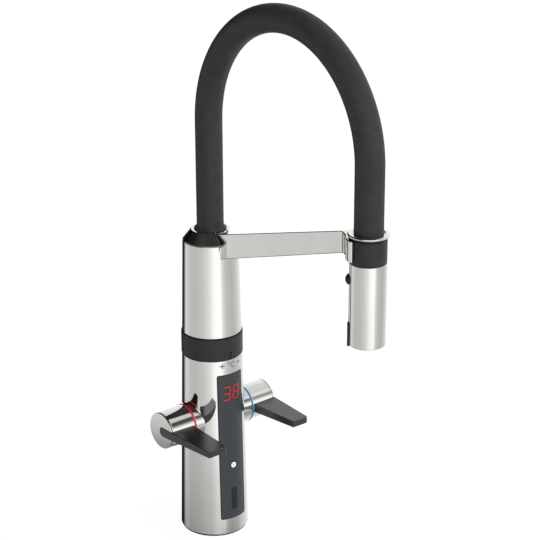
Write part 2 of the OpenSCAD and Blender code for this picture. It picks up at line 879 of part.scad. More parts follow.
module temperature_ring() {
  color("#26282a") difference() {
    turned([
      [collar_r + fit, ring_z], [ring_r - ring_edge, ring_z],
      [ring_r, ring_z + ring_edge], [ring_r, ring_top - ring_edge],
      [ring_r - ring_edge, ring_top], [collar_r + fit, ring_top]
    ]);
    translate([0, 0, stop_z - stop_r - 0.4]) rotate([0, 0, 90 - stop_half])
      rotate_extrude(angle = 2 * stop_half)
        translate([collar_r - 0.2, 0]) square([stop_depth + 0.2, 2 * stop_r + 0.8]);
    block([-notch_w / 2, -base_d, ring_z - over],
      [notch_w / 2, -ring_r + notch_depth, ring_z + notch_h]);
    translate([0, 0, stop_z]) rotate([0, 0, 90 + 2 * stop_half])
      rod_x(magnet_r, 0, collar_r + magnet_depth);
  }
}

module ring_magnet() {
  color("#6f7376") translate([0, 0, stop_z]) rotate([0, 0, 90 + 2 * stop_half])
    rod_x(magnet_r, collar_r + gap, collar_r + magnet_depth);
}

module upper_shell() {
  color("#d4d6d8") turned([
    [bush_r, upper_z], [col_r(upper_z), upper_z], [col_r(column_h), column_h],
    [plug_r, column_h], [plug_r, plug_z + 8], [col_r(plug_z) - shell_wall, plug_z],
    [col_r(bush_top + 2) - shell_wall, bush_top + 2], [bush_r, bush_top]
  ]);
}

module lower_bush() {
  color("#e9e7df") translate([0, 0, bush_z])
    ring_tube(bush_r, pin_r + fit, bush_h);
}

module upper_bush() {
  color("#e9e7df") translate([0, 0, plug_z])
    ring_tube(pin_r + upper_bush_wall, pin_r + fit, upper_bush_h);
}

// The bar and the half cup seen from above, before they are cut to their side view
module arm_plan() {
  blend_x = bar_w / 2 + cup_blend;
  blend_y = sqrt(pow(cup_out_r + cup_blend, 2) - blend_x * blend_x);
  share = cup_out_r / (cup_out_r + cup_blend);
  translate([-bar_w / 2, -reach]) square([bar_w, reach]);
  translate([0, -reach]) circle(cup_out_r);
  for (side = [LEFT, RIGHT]) translate([0, -reach]) difference() {
    polygon([
      [0, 0], [side * blend_x * share, blend_y * share], [side * blend_x, blend_y], [0, blend_y]
    ]);
    translate([side * blend_x, blend_y]) circle(cup_blend);
  }
}

// The bar and the half cup seen from the side
module arm_side() {
  bend_y = reach - cup_out_r - 7;
  polygon([
    [0, hub_top], [-hub_top_d / 2, hub_top], [-bend_y, cup_top], [-reach - over, cup_top],
    [-reach - over, cup_bottom], [-bend_y - 3, cup_bottom],
    [-col_r(column_h), column_h - bar_drop], [0, column_h - bar_drop]
  ]);
}

module arm() {
  color("#d4d6d8") difference() {
    union() {
      translate([0, 0, plug_z]) cylinder(r = plug_r, h = plug_h);
      translate([0, 0, column_h]) cylinder(r1 = col_r(column_h), r2 = hub_top_d / 2, h = hub_h);
      difference() {
        intersection() {
          translate([0, 0, plug_z]) linear_extrude(cup_top) arm_plan();
          translate([-base_d / 2, 0, 0]) rotate([90, 0, 90]) linear_extrude(base_d) arm_side();
        }
        column_solid(0, column_h);
      }
    }
    translate([0, 0, plug_z - over]) cylinder(r = pin_r + upper_bush_wall, h = upper_bush_h + over);
    translate([0, 0, plug_z]) cylinder(r = chamber_r, h = chamber_top - plug_z);
    translate([0, 0, column_h]) cylinder(r = water_bore / 2, h = hub_h);
    translate([0, 0, water_foot]) cylinder(r = water_r, h = hub_h);
    translate([0, 0, hose_foot]) cylinder(r = hose_r, h = hose_seat + over);
    at_spray() cylinder(r = cup_in_r, h = cup_top + over);
    block([-base_d, -reach - base_d, 0], [base_d, -reach, cup_top + over]);
    translate([0, 0, cup_bottom + cup_h / 2])
      rod_y(dock_r, -reach, -reach + cup_in_r + dock_t);
  }
}

module dock_magnet() {
  color("#6f7376") translate([0, 0, cup_bottom + cup_h / 2])
    rod_y(dock_r, -reach + cup_in_r + 0.2, -reach + cup_in_r + dock_t);
}

module hose_boot() {
  flare = 2.2;
  color("#1d1e1f") turned([
    [hose_r, hub_top], [hose_r + flare, hub_top], [hose_r + flare, hub_top + boot_h / 4],
    [hose_r + 0.8, hub_top + boot_h * 0.7], [hose_r + 0.4, hub_top + boot_h],
    [hose_r, hub_top + boot_h]
  ]);
}

module hose_sleeve() {
  color("#333436") hose(hose_r, hose_r - hose_wall, hose_foot, flange_z);
}

module support_spring() {
  color("#9fa3a6") hose(hose_r - hose_wall - 0.2, water_r + 1, hose_foot, flange_z);
}

module water_hose() {
  color("#dfe3e6") hose(water_r, water_bore / 2, water_foot, water_end);
}

module flange_ring() {
  edge = 0.7;
  color("#d4d6d8") at_spray() translate([0, 0, flange_z]) turned([
    [hose_r, 0], [flange_d / 2 - edge, 0], [flange_d / 2, edge],
    [flange_d / 2, flange_t - edge], [flange_d / 2 - edge, flange_t], [hose_r, flange_t]
  ]);
}

module hose_nut() {
  color("#b29a56") at_spray() difference() {
    union() {
      translate([0, 0, nut_z]) cylinder(r = hose_r, h = nut_h);
      translate([0, 0, nut_z]) cylinder(r = hose_r + nut_shoulder, h = nut_shoulder_h);
      translate([0, 0, stem_z]) cylinder(r = stem_r, h = stem_h);
    }
    translate([0, 0, stem_z - over]) cylinder(r = water_bore / 2, h = nut_h + stem_h + over);
    translate([0, 0, water_end]) cylinder(r = water_r, h = nut_h);
  }
}

module spray_collar() {
  color("#202224") at_spray() difference() {
    translate([0, 0, collar_z]) cylinder(r = collar_out_r, h = collar_h);
    translate([0, 0, nut_z - gap]) cylinder(r = hose_r + gap, h = nut_h);
    translate([0, 0, core_top])
      cylinder(r = hose_r + nut_shoulder + gap, h = nut_shoulder_h + 2 * gap);
    translate([0, 0, collar_z - over]) cylinder(r = core_r, h = core_top - collar_z + over);
  }
}

module spray_sleeve() {
  color("#d4d6d8") difference() {
    at_spray() translate([0, 0, spray_bottom])
      ring_tube(spray_r, spray_in_r, collar_z - spray_bottom);
    at_button(button_z) rod_x(button_hole_r, 0, spray_d);
    at_button(strip_z) block([spray_r - 0.5, -strip_w / 2, -strip_h / 2],
      [spray_d, strip_w / 2, strip_h / 2]);
  }
}

module spray_core() {
  color("#3a3c3e") difference() {
    at_spray() union() {
      translate([0, 0, core_wide_z]) cylinder(r = core_r, h = core_top - core_wide_z);
      translate([0, 0, spray_bottom + nozzle_h])
        cylinder(r = core_r * 0.65, h = core_wide_z - spray_bottom - nozzle_h);
      translate([0, 0, collar_z - 4]) cylinder(r = spray_in_r, h = 4);
    }
    at_spray() translate([0, 0, spray_bottom]) cylinder(r = water_bore / 2, h = column_h);
    at_spray() translate([0, 0, stem_z - gap]) cylinder(r = stem_r + fit, h = column_h);
    at_button(button_z) rod_x(button_rim_r + 2 * fit, pocket_back, spray_d);
  }
}

module nozzle_plate() {
  hole_r = 0.7;
  face_z = spray_bottom + nozzle_inset;
  color("#3c3e40") at_spray() difference() {
    translate([0, 0, face_z]) cylinder(r = spray_in_r, h = nozzle_h - nozzle_inset);
    translate([0, 0, face_z + 2]) cylinder(r = core_r * 0.65, h = nozzle_h);
    for (row = [[6, 4.6], [12, 8.2], [16, 11.4]], i = [0 : row[0] - 1])
      rotate([0, 0, i * 360 / row[0]]) translate([row[1], 0, face_z - over])
        cylinder(r = row[1] > core_r * 0.65 ? hole_r * 0.9 : hole_r, h = nozzle_h, $fn = 16);
    translate([0, 0, face_z - over]) cylinder(r = 2.4, h = nozzle_h);
  }
}

module grip_strip() {
  back = spray_r - 0.5;
  color("#17181a") intersection() {
    at_button(strip_z) block([back, -strip_w / 2, -strip_h / 2],
      [spray_d, strip_w / 2, strip_h / 2]);
    at_spray() cylinder(r = spray_r + strip_out, h = column_h);
  }
}

module spray_button() {
  front = spray_r + button_out;
  color("#17181a") at_button(button_z) rotate([0, 90, 0]) rotate_extrude() difference() {
    union() {
      translate([0, button_back]) square([button_rim_r, button_stop - button_back]);
      translate([0, button_back]) square([button_r, spray_r - button_back]);
      intersection() {
        translate([0, front - dome_r]) circle(dome_r);
        translate([0, spray_r - 1]) square([button_r, button_out + 1]);
      }
    }
    translate([0, button_back - over]) square([spring_r + gap, spring_seat + over]);
  }
}

module button_spring() {
  color("#b9bcbe") at_button(button_z) difference() {
    rod_x(spring_r, pocket_back, button_back + spring_seat);
    rod_x(spring_r - spring_wall, pocket_back - over, button_back + spring_seat + over);
  }
}

deck_gasket();
base_plate();
base_screws();
cable_gland();
lower_shell();
panel_seal();
panel_cover();
display_window();
display_digits();
touch_key();
sensor_window();
control_board();
display_module();
sensor_module();
valve_block();
inlet_tubes();
cartridge(LEFT);  // cartridge_left
cartridge(RIGHT);  // cartridge_right
base_sleeve(LEFT);  // base_sleeve_left
base_sleeve(RIGHT);  // base_sleeve_right
colour_ring(LEFT, "#c8202f");  // hot_ring
colour_ring(RIGHT, "#0b6ea8");  // cold_ring
solenoid_body();
solenoid_coil();
solenoid_plunger();
plunger_spring();
riser_tube();
neck();
ring_stop_pin();
retaining_clip();
swivel_seals();
temperature_ring();
ring_magnet();
spindle(LEFT);  // spindle_left
spindle(RIGHT);  // spindle_right
barrel(LEFT);  // barrel_left
barrel(RIGHT);  // barrel_right
lever(LEFT);  // lever_left
lever(RIGHT);  // lever_right
end_disc(LEFT);  // end_disc_left
end_disc(RIGHT);  // end_disc_right
upper_shell();
lower_bush();
upper_bush();
arm();
dock_magnet();
hose_boot();
hose_sleeve();
support_spring();
water_hose();
flange_ring();
hose_nut();
spray_collar();
spray_sleeve();
spray_core();
nozzle_plate();
grip_strip();
spray_button();
button_spring();
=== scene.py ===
# %% [markdown]
# # A touchless kitchen faucet
# The solid model of the faucet is finished and packed, and this lesson gives it its looks. Each
# piece that shows is modelled again with the tools of edit mode, at the place that the solid
# model gives it, and every piece gets the finish that the real one has. The first cell loads
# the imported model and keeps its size, because the looks must not make the faucet bigger.

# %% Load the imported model
import json
import math

import bpy
from mathutils import Matrix, Vector


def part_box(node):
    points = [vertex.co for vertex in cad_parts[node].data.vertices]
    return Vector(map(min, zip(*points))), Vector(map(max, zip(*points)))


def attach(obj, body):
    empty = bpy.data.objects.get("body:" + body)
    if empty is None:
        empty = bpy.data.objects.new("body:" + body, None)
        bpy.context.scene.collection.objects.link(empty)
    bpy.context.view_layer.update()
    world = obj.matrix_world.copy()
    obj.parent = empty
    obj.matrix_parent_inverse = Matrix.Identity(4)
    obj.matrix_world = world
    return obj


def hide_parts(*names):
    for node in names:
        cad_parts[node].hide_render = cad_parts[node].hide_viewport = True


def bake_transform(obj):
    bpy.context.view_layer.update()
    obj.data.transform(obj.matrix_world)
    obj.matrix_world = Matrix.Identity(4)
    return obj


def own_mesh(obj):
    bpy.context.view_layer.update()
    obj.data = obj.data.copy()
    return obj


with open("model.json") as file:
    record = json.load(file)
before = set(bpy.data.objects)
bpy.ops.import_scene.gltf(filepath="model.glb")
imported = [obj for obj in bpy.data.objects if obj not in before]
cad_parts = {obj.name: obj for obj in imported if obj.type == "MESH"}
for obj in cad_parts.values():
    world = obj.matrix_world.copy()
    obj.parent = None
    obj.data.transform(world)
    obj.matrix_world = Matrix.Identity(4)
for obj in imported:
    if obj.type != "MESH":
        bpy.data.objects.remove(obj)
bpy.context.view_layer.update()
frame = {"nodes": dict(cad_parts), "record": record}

# %% [markdown]
# ## The faucet's main measures
# Everything below is in millimetres, with the middle of the deck gasket as the origin, +Z up
# and the spout towards -Y. The column tapers evenly, so its radius is a function of the height.
# One more function turns millimetres to the metres that Blender works in.

# %% Main measures
MM = 0.001
BASE_R = 32.0
COLUMN_H = 288.0
TAPER = 6.5 / COLUMN_H
LOWER_TOP = 178.0
SHELL_WALL = 2.4
RING_TOP = 199.9
UPPER_FOOT = 200.2
HUB_TOP = 298.0
HUB_TOP_R = 17.5
HANDLE_Z = 114.0
REACH = 210.0
HOSE_R = 12.24
SPRAY_R = 15.5
CUP_TOP = 347.0
CUP_FOOT = 328.5
FLANGE_Z = 348.5
COLLAR_Z = 325.7
SPRAY_FOOT = 254.0


def mm(*values):
    """A point or a step in metres, from millimetres."""
    return Vector([value * MM for value in values])


def column_r(height):
    """The column's outer radius at a height."""
    return BASE_R - TAPER * height


heights = (0, LOWER_TOP, COLUMN_H)
print("column radius at foot, ring and hub:", [round(column_r(z), 2) for z in heights])

# %% [markdown]
# ## The camera
# The photograph was taken with a long lens from the front left and a little above. The place
# and the turn of the camera come from the outlines of the faucet in the photograph. The camera
# looks along its own -Z, so its matrix has the right, up and backward directions as columns.

# %% Camera
CAMERA_AZIMUTH = -39.394
CAMERA_ELEVATION = 20.84
CAMERA_ROLL = -0.165
CAMERA_PLACE = (-905.183, -1186.842, 824.963)
CAMERA_LENS = 116.98


def set_camera():
    """Makes the camera that stands where the photographer's camera stood."""
    azimuth, elevation, roll = map(math.radians, (CAMERA_AZIMUTH, CAMERA_ELEVATION, CAMERA_ROLL))
    right = Vector((math.cos(azimuth), math.sin(azimuth), 0))
    ahead = Vector((
        -math.sin(azimuth) * math.cos(elevation),
        math.cos(azimuth) * math.cos(elevation),
        -math.sin(elevation),
    ))
    up = right.cross(ahead)
    turned_right = right * math.cos(roll) + up * math.sin(roll)
    turned_up = up * math.cos(roll) - right * math.sin(roll)
    place = Matrix((turned_right, turned_up, -ahead)).transposed().to_4x4()
    place.translation = mm(*CAMERA_PLACE)
    bpy.ops.object.camera_add()
    camera = bpy.context.object
    camera.name = "photo_camera"
    camera.matrix_world = place
    camera.data.sensor_width = 36
    camera.data.lens = CAMERA_LENS
    camera.data.clip_start = 0.05
    camera.data.clip_end = 20
    bpy.context.scene.camera = camera
    print("camera", round(place.translation.length, 3), "m from the faucet's foot")


set_camera()

# %% [markdown]
# ## Finishes
# A finish is a set of nodes that feed the Principled shader. One function turns the sRGB colours
# of a swatch to the linear values that Blender wants, and one small function adds a node with
# its settings and links. Patterns read the Object coordinates, which are metres here, so the
# scale of a noise is 1 / (size of its grain in metres).

# %% Helpers for the finishes


def swatch(code):
    """Linear RGBA of an sRGB hex colour."""
    parts = [int(code[i:i + 2], 16) / 255 for i in (1, 3, 5)]
    linear = [c / 12.92 if c <= 0.04045 else ((c + 0.055) / 1.055) ** 2.4 for c in parts]
    return (*linear, 1.0)


def add_node(tree, kind, settings=None, inputs=None):
    """Adds a node. An input is a value, or the output socket that it is linked from."""
    made = tree.nodes.new(kind)
    for name, value in (settings or {}).items():
        setattr(made, name, value)
    for name, value in (inputs or {}).items():
        if isinstance(value, bpy.types.NodeSocket):
            tree.links.new(value, made.inputs[name])
        else:
            made.inputs[name].default_value = value
    return made


def new_finish(name, colour, roughness, metallic=0.0, **sockets):
    """A material with a Principled shader, and its tree, shader and Object coordinates."""
    material = bpy.data.materials.new(name)
    material.use_nodes = True
    tree = material.node_tree
    shader = tree.nodes["Principled BSDF"]
    shader.inputs["Base Color"].default_value = swatch(colour)
    shader.inputs["Roughness"].default_value = roughness
    shader.inputs["Metallic"].default_value = metallic
    for socket, value in sockets.items():
        shader.inputs[socket.replace("_", " ")].default_value = value
    coords = add_node(tree, "ShaderNodeTexCoord").outputs["Object"]
    return material, tree, shader, coords


def speckle(tree, coords, grain_mm, detail=3.0, stretch=None):
    """Noise with a grain of so many millimetres, stretched where a surface was brushed."""
    if stretch:
        mapped = add_node(tree, "ShaderNodeMapping", inputs={"Vector": coords, "Scale": stretch})
        coords = mapped.outputs["Vector"]
    noise = add_node(tree, "ShaderNodeTexNoise", inputs={
        "Vector": coords, "Scale": 1 / (grain_mm * MM), "Detail": detail, "Roughness": 0.6})
    return noise.outputs["Fac"]


def vary_colour(tree, shader, factor, dark, light):
    """The colour runs from dark to light with the factor."""
    ramp = add_node(tree, "ShaderNodeValToRGB", inputs={"Fac": factor})
    ramp.color_ramp.elements[0].position = 0.3
    ramp.color_ramp.elements[0].color = swatch(dark)
    ramp.color_ramp.elements[1].position = 0.7
    ramp.color_ramp.elements[1].color = swatch(light)
    tree.links.new(ramp.outputs["Color"], shader.inputs["Base Color"])


def vary_roughness(tree, shader, factor, low, high):
    """The roughness runs from low to high with the factor."""
    spread = add_node(tree, "ShaderNodeMapRange", inputs={
        "Value": factor, "From Min": 0.3, "From Max": 0.7, "To Min": low, "To Max": high})
    tree.links.new(spread.outputs["Result"], shader.inputs["Roughness"])


def raise_grain(tree, shader, factor, height_mm, strength=1.0):
    """Bump of so many millimetres."""
    bump = add_node(tree, "ShaderNodeBump", inputs={
        "Height": factor, "Distance": height_mm * MM, "Strength": strength})
    tree.links.new(bump.outputs["Normal"], shader.inputs["Normal"])


# %% [markdown]
# ## Polished chrome plate
# The shells, the bar and the handles are brass castings that were polished and plated with
# nickel and chrome. Chrome mirrors its surroundings with a faint warm grey, and only a trace of
# polishing haze keeps it from being a perfect mirror. The haze is a slow change of roughness
# over some 20 mm, and there is no bump, because a bump would break the long clean reflections.

# %% Chrome


def chrome_finish(name, low, high):
    """Chrome plate with a polishing haze between two roughnesses."""
    material, tree, shader, coords = new_finish(name, "#f0f0ec", low, metallic=1.0)
    haze = speckle(tree, coords, 20, detail=2)
    vary_roughness(tree, shader, haze, low, high)
    vary_colour(tree, shader, speckle(tree, coords, 45, detail=1), "#edede8", "#f3f3f0")
    return material


CHROME = chrome_finish("polished_chrome_plate", 0.025, 0.05)

# %% [markdown]
# ## Rubber, plastic and paint
# The hose is an extruded rubber sleeve: matte, with the faint flow marks of extrusion and a fine
# grain of about half a millimetre, drawn a little coarser than real so that it shows. The ring
# and the collar are moulded ABS with a fine spark-eroded texture. The levers are zinc castings
# with a satin powder coat, which has a soft orange-peel of about 1 mm.

# %% Dark finishes


def hose_finish():
    """Extruded rubber sleeve of the hose."""
    material, tree, shader, coords = new_finish(
        "extruded_charcoal_rubber", "#2f2f30", 0.5, Specular_IOR_Level=0.22)
    grain = speckle(tree, coords, 0.6, detail=4)
    vary_colour(tree, shader, speckle(tree, coords, 9), "#2b2b2c", "#323233")
    vary_roughness(tree, shader, grain, 0.48, 0.6)
    raise_grain(tree, shader, grain, 0.03, 0.5)
    return material


def moulded_finish(name, dark, light, low, high, grain_mm=0.5, height_mm=0.01, gloss=0.5):
    """Moulded plastic with a fine texture from the tool."""
    material, tree, shader, coords = new_finish(name, light, low, Specular_IOR_Level=gloss)
    grain = speckle(tree, coords, grain_mm)
    vary_colour(tree, shader, speckle(tree, coords, 14), dark, light)
    vary_roughness(tree, shader, grain, low, high)
    raise_grain(tree, shader, grain, height_mm, 0.6)
    return material


HOSE_RUBBER = hose_finish()
RING_ABS = moulded_finish("satin_black_abs", "#282829", "#2e2e2f", 0.36, 0.46, gloss=0.22)
LEVER_COAT = moulded_finish(
    "satin_black_powder_coat", "#1b1b1b", "#202020", 0.24, 0.32, 1.0, 0.006, gloss=1.0)
PANEL_PC = moulded_finish("dark_grey_polycarbonate", "#2f3235", "#33363a", 0.3, 0.4, gloss=0.4)
SEAL_RUBBER = moulded_finish("black_seal_rubber", "#0c0c0d", "#141415", 0.6, 0.75)
SOFT_BLACK = moulded_finish("soft_touch_black", "#121213", "#1a1a1b", 0.5, 0.62)
WINDOW_BLACK = moulded_finish("infrared_window_acrylic", "#17181a", "#1b1c1e", 0.12, 0.18)
DISPLAY_SMOKE = moulded_finish("smoked_display_acrylic", "#2a2c2e", "#303234", 0.2, 0.28)

# %% [markdown]
# ## Lit, coloured and printed finishes
# The digits are light guides over red diodes, so they glow a little. The index rings are
# moulded in coloured gloss plastic. The marks by the temperature ring are etched grey.

# %% Coloured finishes


def coloured_finish(name, dark, light, roughness, glow=0.0, gloss=0.5):
    """Gloss plastic in a bright colour, which may glow."""
    material, tree, shader, coords = new_finish(
        name, light, roughness, Specular_IOR_Level=gloss)
    vary_colour(tree, shader, speckle(tree, coords, 3), dark, light)
    if glow:
        shader.inputs["Emission Color"].default_value = swatch(light)
        shader.inputs["Emission Strength"].default_value = glow
    return material


DIGIT_RED = coloured_finish("lit_red_light_guide", "#a00e18", "#b01420", 0.35, glow=0.15)
HOT_RED = coloured_finish("hot_red_gloss_plastic", "#c0101e", "#cc1826", 0.25)
COLD_BLUE = coloured_finish("cold_blue_gloss_plastic", "#006c9c", "#0074a6", 0.3, gloss=0.12)
# The printed key is not lit, so its small glow is painted light that keeps it bright.
KEY_WHITE_PAINTED_GLOW = coloured_finish("white_printed_key_painted_glow", "#eeeeec", "#f6f6f4", 0.35, glow=0.15)
ETCHED_GREY = coloured_finish("etched_grey_marks", "#454647", "#505152", 0.5)

# %% [markdown]
# ## Finishes of the inner pieces
# Inside are turned brass, drawn copper, stainless steel, white acetal bushes and a circuit
# board. They hardly show, but a part in a library is also seen taken apart, so each inner piece
# gets its own finish: turned brass has fine rings, and drawn tube has lines along its length.

# %% Inner finishes


def turned_metal(name, dark, light, low, high, stretch):
    """A machined metal whose tool marks run along the directions that stretch leaves long."""
    material, tree, shader, coords = new_finish(name, light, low, metallic=1.0)
    marks = speckle(tree, coords, 1.0, detail=4, stretch=stretch)
    vary_colour(tree, shader, marks, dark, light)
    vary_roughness(tree, shader, marks, low, high)
    return material


BRASS = turned_metal("turned_brass", "#b1934a", "#d2b468", 0.22, 0.36, (0.3, 0.3, 3.0))
COPPER = turned_metal("drawn_copper_tube", "#b06a45", "#c98058", 0.25, 0.4, (2.0, 2.0, 0.1))
STEEL = turned_metal("stainless_steel", "#a4a7a9", "#c0c3c5", 0.25, 0.38, (1.0, 1.0, 2.0))
MAGNET = turned_metal("nickel_plated_magnet", "#9a9c9d", "#aeb0b1", 0.18, 0.26, (1.0, 1.0, 1.0))
ACETAL = moulded_finish("natural_acetal", "#dedbd0", "#ebe8de", 0.4, 0.5)
INNER_BLACK = moulded_finish("black_nylon", "#1d1e20", "#27292b", 0.45, 0.58)
BOARD = moulded_finish("green_circuit_board", "#195735", "#21693f", 0.35, 0.5, 2.0)
WINDING = moulded_finish("lacquered_winding", "#6e2a18", "#8f3b22", 0.3, 0.42, 0.8)
INNER_HOSE = moulded_finish("pale_food_grade_hose", "#cfd5d8", "#dde2e5", 0.35, 0.45)
print("finishes:", len(bpy.data.materials))

# %% [markdown]
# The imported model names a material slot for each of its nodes. Every node that stays gets the
# finish of its slot here, and the pieces that are modelled below take theirs from the same list.

# %% Dress the nodes that stay
FINISH_OF_SLOT = {
    "chrome_shell": CHROME, "black_gasket": SEAL_RUBBER, "machined_brass": BRASS, "steel": STEEL,
    "panel_plastic": PANEL_PC, "display_glass": DISPLAY_SMOKE, "display_red": DIGIT_RED,
    "key_white": KEY_WHITE_PAINTED_GLOW, "window_black": WINDOW_BLACK, "board_green": BOARD,
    "inner_black": INNER_BLACK, "ceramic_white": ACETAL, "copper_tube": COPPER,
    "coil_red": WINDING, "hot_red": HOT_RED, "cold_blue": COLD_BLUE, "ring_black": RING_ABS,
    "lever_black": LEVER_COAT, "hose_rubber": HOSE_RUBBER, "hose_inner": INNER_HOSE,
    "magnet": MAGNET, "grip_rubber": SOFT_BLACK,
}
SLOT_OF_NODE = {part["node"]: part["material_slot"] for part in frame["record"]["subparts"]}
for node_name, node_object in frame["nodes"].items():
    for material_slot in node_object.material_slots:
        material_slot.material = FINISH_OF_SLOT[SLOT_OF_NODE[node_name]]
print("nodes dressed:", len(frame["nodes"]))

# %% [markdown]
# ## How the pieces are drawn
# Nearly every piece is turned or extruded, so two tools do most of the work. Both start from one
# vertex, which is a plane merged to its centre, and extrude it from corner to corner of an
# outline. A turned piece then spins the outline round an axis. A slab fills it with a face and
# extrudes that. The corners of an outline are rounded before it is drawn, so the rims catch
# the light as polished rims do.

# %% Outlines


def rounded(corners, closed=True, steps=4):
    """Points of an outline whose corners (x, y) or (x, y, radius) are rounded off."""
    points = []
    count = len(corners)
    for i, corner in enumerate(corners):
        here = Vector(corner[:2])
        radius = corner[2] if len(corner) > 2 else 0
        if not radius or (not closed and i in (0, count - 1)):
            points.append(here)
            continue
        before = Vector(corners[i - 1][:2]) - here
        after = Vector(corners[(i + 1) % count][:2]) - here
        half = before.angle(after) / 2
        cut = radius / math.tan(half)
        middle = here + (before.normalized() + after.normalized()).normalized() * (
            radius / math.sin(half))
        first = here + before.normalized() * cut - middle
        last = here + after.normalized() * cut - middle
        turn = first.angle_signed(last)
        for k in range(steps + 1):
            spoke = first.copy()
            spoke.rotate(Matrix.Rotation(-turn * k / steps, 2))
            points.append(middle + spoke)
    return points


def deselect():
    """Nothing is selected, so the next operator acts on its own piece only."""
    if bpy.context.object and bpy.context.object.mode != "OBJECT":
        bpy.ops.object.mode_set(mode="OBJECT")
    bpy.ops.object.select_all(action="DESELECT")


def activate(piece):
    """Only this piece is selected and active."""
    deselect()
    piece.select_set(True)
    bpy.context.view_layer.objects.active = piece


def draw_line(name, points):
    """A chain of vertices through points in millimetres, left open in edit mode."""
    deselect()
    bpy.ops.mesh.primitive_plane_add(size=MM)
    piece = bpy.context.object
    piece.name = name
    bpy.ops.object.mode_set(mode="EDIT")
    bpy.ops.mesh.select_all(action="SELECT")
    bpy.ops.mesh.merge(type="CENTER")
    bpy.ops.transform.translate(value=mm(*points[0]))
    for before, point in zip(points, points[1:]):
        bpy.ops.mesh.extrude_region_move(
            TRANSFORM_OT_translate={"value": mm(*point) - mm(*before)})
    return piece


# %% [markdown]
# A turned piece is closed by merging the vertices that the spin laid on top of each other, and
# its faces are then made to point outwards. An outline that ends on the axis gets a clean pole.

# %% Turned pieces and slabs
SAME_PLACE = 0.002


def merge_near(distance):
    """Merges all vertices that lie closer together than a distance in millimetres."""
    bpy.ops.mesh.select_all(action="SELECT")
    bpy.ops.mesh.remove_doubles(threshold=distance * MM)


def face_outwards():
    """Turns all faces outwards and leaves edit mode."""
    bpy.ops.mesh.select_all(action="SELECT")
    bpy.ops.mesh.normals_make_consistent(inside=False)
    bpy.ops.object.mode_set(mode="OBJECT")


def turn(name, outline, axis="Z", place=(0, 0, 0), closed=True, steps=128, start=0.0, angle=360.0):
    """Spins an outline of (radius, height) round the Z axis, or (height, radius) round X."""
    loop = list(outline) + ([outline[0]] if closed else [])
    base = Vector(place)
    if axis == "Z":
        side = Vector((math.cos(math.radians(start)), math.sin(math.radians(start)), 0))
        points = [base + side * p[0] + Vector((0, 0, p[1])) for p in loop]
    else:
        points = [base + Vector((p[0], 0, p[1])) for p in loop]
    piece = draw_line(name, points)
    bpy.ops.mesh.select_all(action="SELECT")
    bpy.ops.mesh.spin(
        steps=steps, angle=math.radians(angle), center=mm(*base),
        axis=(0, 0, 1) if axis == "Z" else (1, 0, 0))
    merge_near(SAME_PLACE)
    face_outwards()
    return piece


PLANES = {
    "Z": lambda x, y, depth: (x, y, depth),
    "X": lambda x, y, depth: (depth, x, y),
    "Y": lambda x, y, depth: (x, depth, y),
}


def slab(name, outline, low, high, along="Z"):
    """Extrudes a filled outline from low to high along an axis."""
    points = [PLANES[along](p[0], p[1], low) for p in outline]
    piece = draw_line(name, points)
    bpy.ops.mesh.select_all(action="SELECT")
    bpy.ops.mesh.edge_face_add()
    step = PLANES[along](0, 0, high - low)
    bpy.ops.mesh.extrude_region_move(TRANSFORM_OT_translate={"value": mm(*step)})
    face_outwards()
    return piece


def apply_modifier(piece, kind, **settings):
    """Adds a modifier to a piece and applies it."""
    activate(piece)
    bpy.ops.object.modifier_add(type=kind)
    modifier = piece.modifiers[-1]
    for name, value in settings.items():
        setattr(modifier, name, value)
    bpy.ops.object.modifier_apply(modifier=modifier.name)


def combine(piece, tool, operation="DIFFERENCE"):
    """Cuts the tool out of the piece, or keeps what they share, and removes the tool."""
    apply_modifier(piece, "BOOLEAN", operation=operation, solver="EXACT", object=tool)
    bpy.data.objects.remove(tool, do_unlink=True)
    return piece


def round_edges(piece, width_mm, segments=3, angle=40, clamp=True):
    """Rounds the sharp edges of a piece."""
    apply_modifier(
        piece, "BEVEL", width=width_mm * MM, segments=segments, limit_method="ANGLE",
        angle_limit=math.radians(angle), use_clamp_overlap=clamp)
    return piece


def turn_about_column(piece, angle):
    """Turns a piece about the column's axis, in degrees."""
    activate(piece)
    bpy.ops.transform.rotate(
        value=-math.radians(angle), orient_axis="Z", center_override=(0, 0, 0))
    return piece


# %% [markdown]
# A finished piece is shaded smooth except at its real edges, and weighted normals keep the long
# walls straight in their reflections. Then it rides on its body, takes its finish, and stands
# for the solid that it was modelled after.

# %% Finishing a piece


def dress(piece, slot_name, *nodes, finish=None, smooth=38):
    """Shades a piece, gives it its finish, and hides the nodes that it stands for."""
    activate(piece)
    bpy.ops.object.transform_apply(location=True, rotation=True, scale=True)
    bpy.ops.object.shade_smooth_by_angle(angle=math.radians(smooth))
    apply_modifier(piece, "WEIGHTED_NORMAL", mode="FACE_AREA", weight=100, keep_sharp=True)
    piece.data.materials.clear()
    piece.data.materials.append(finish or FINISH_OF_SLOT[slot_name])
    if nodes:
        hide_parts(*nodes)
    print(f"{piece.name}: {len(piece.data.polygons)} faces")
    return piece


def hand_over(piece, body, slot_name, *nodes, finish=None, smooth=38):
    """Dresses a piece and fixes it to its body."""
    dress(piece, slot_name, *nodes, finish=finish, smooth=smooth)
    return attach(piece, body)


def painted_shade_ring(name, body, inner_r, outer_r, low, high, place=(0, 0, 0), steps=128):
    """A thin black ring of painted shade, which shows as the dark line in the gap between two
    pieces.
    """
    piece = turn(name, [(inner_r, low), (outer_r, low), (outer_r, high), (inner_r, high)],
                 place=place, steps=steps)
    return hand_over(piece, body, "ring_black", finish=SEAL_RUBBER)


# %% [markdown]
# ## The lower column
# The fixed half of the column is a drawn and polished shell. It is turned as a closed wall with
# a small radius at its two rims. The opening of the front panel and the holes of the handles and
# of the two grub screws are cut afterwards. It gets many steps, because a mirror shows corners.

# %% Lower column
PANEL_W = 28.4
PANEL_LOW = 16.8
PANEL_HIGH = 164.2
GRUB_Z = 7.5
GRUB_R = 2.0
GRUB_ANGLES = (60, 120)


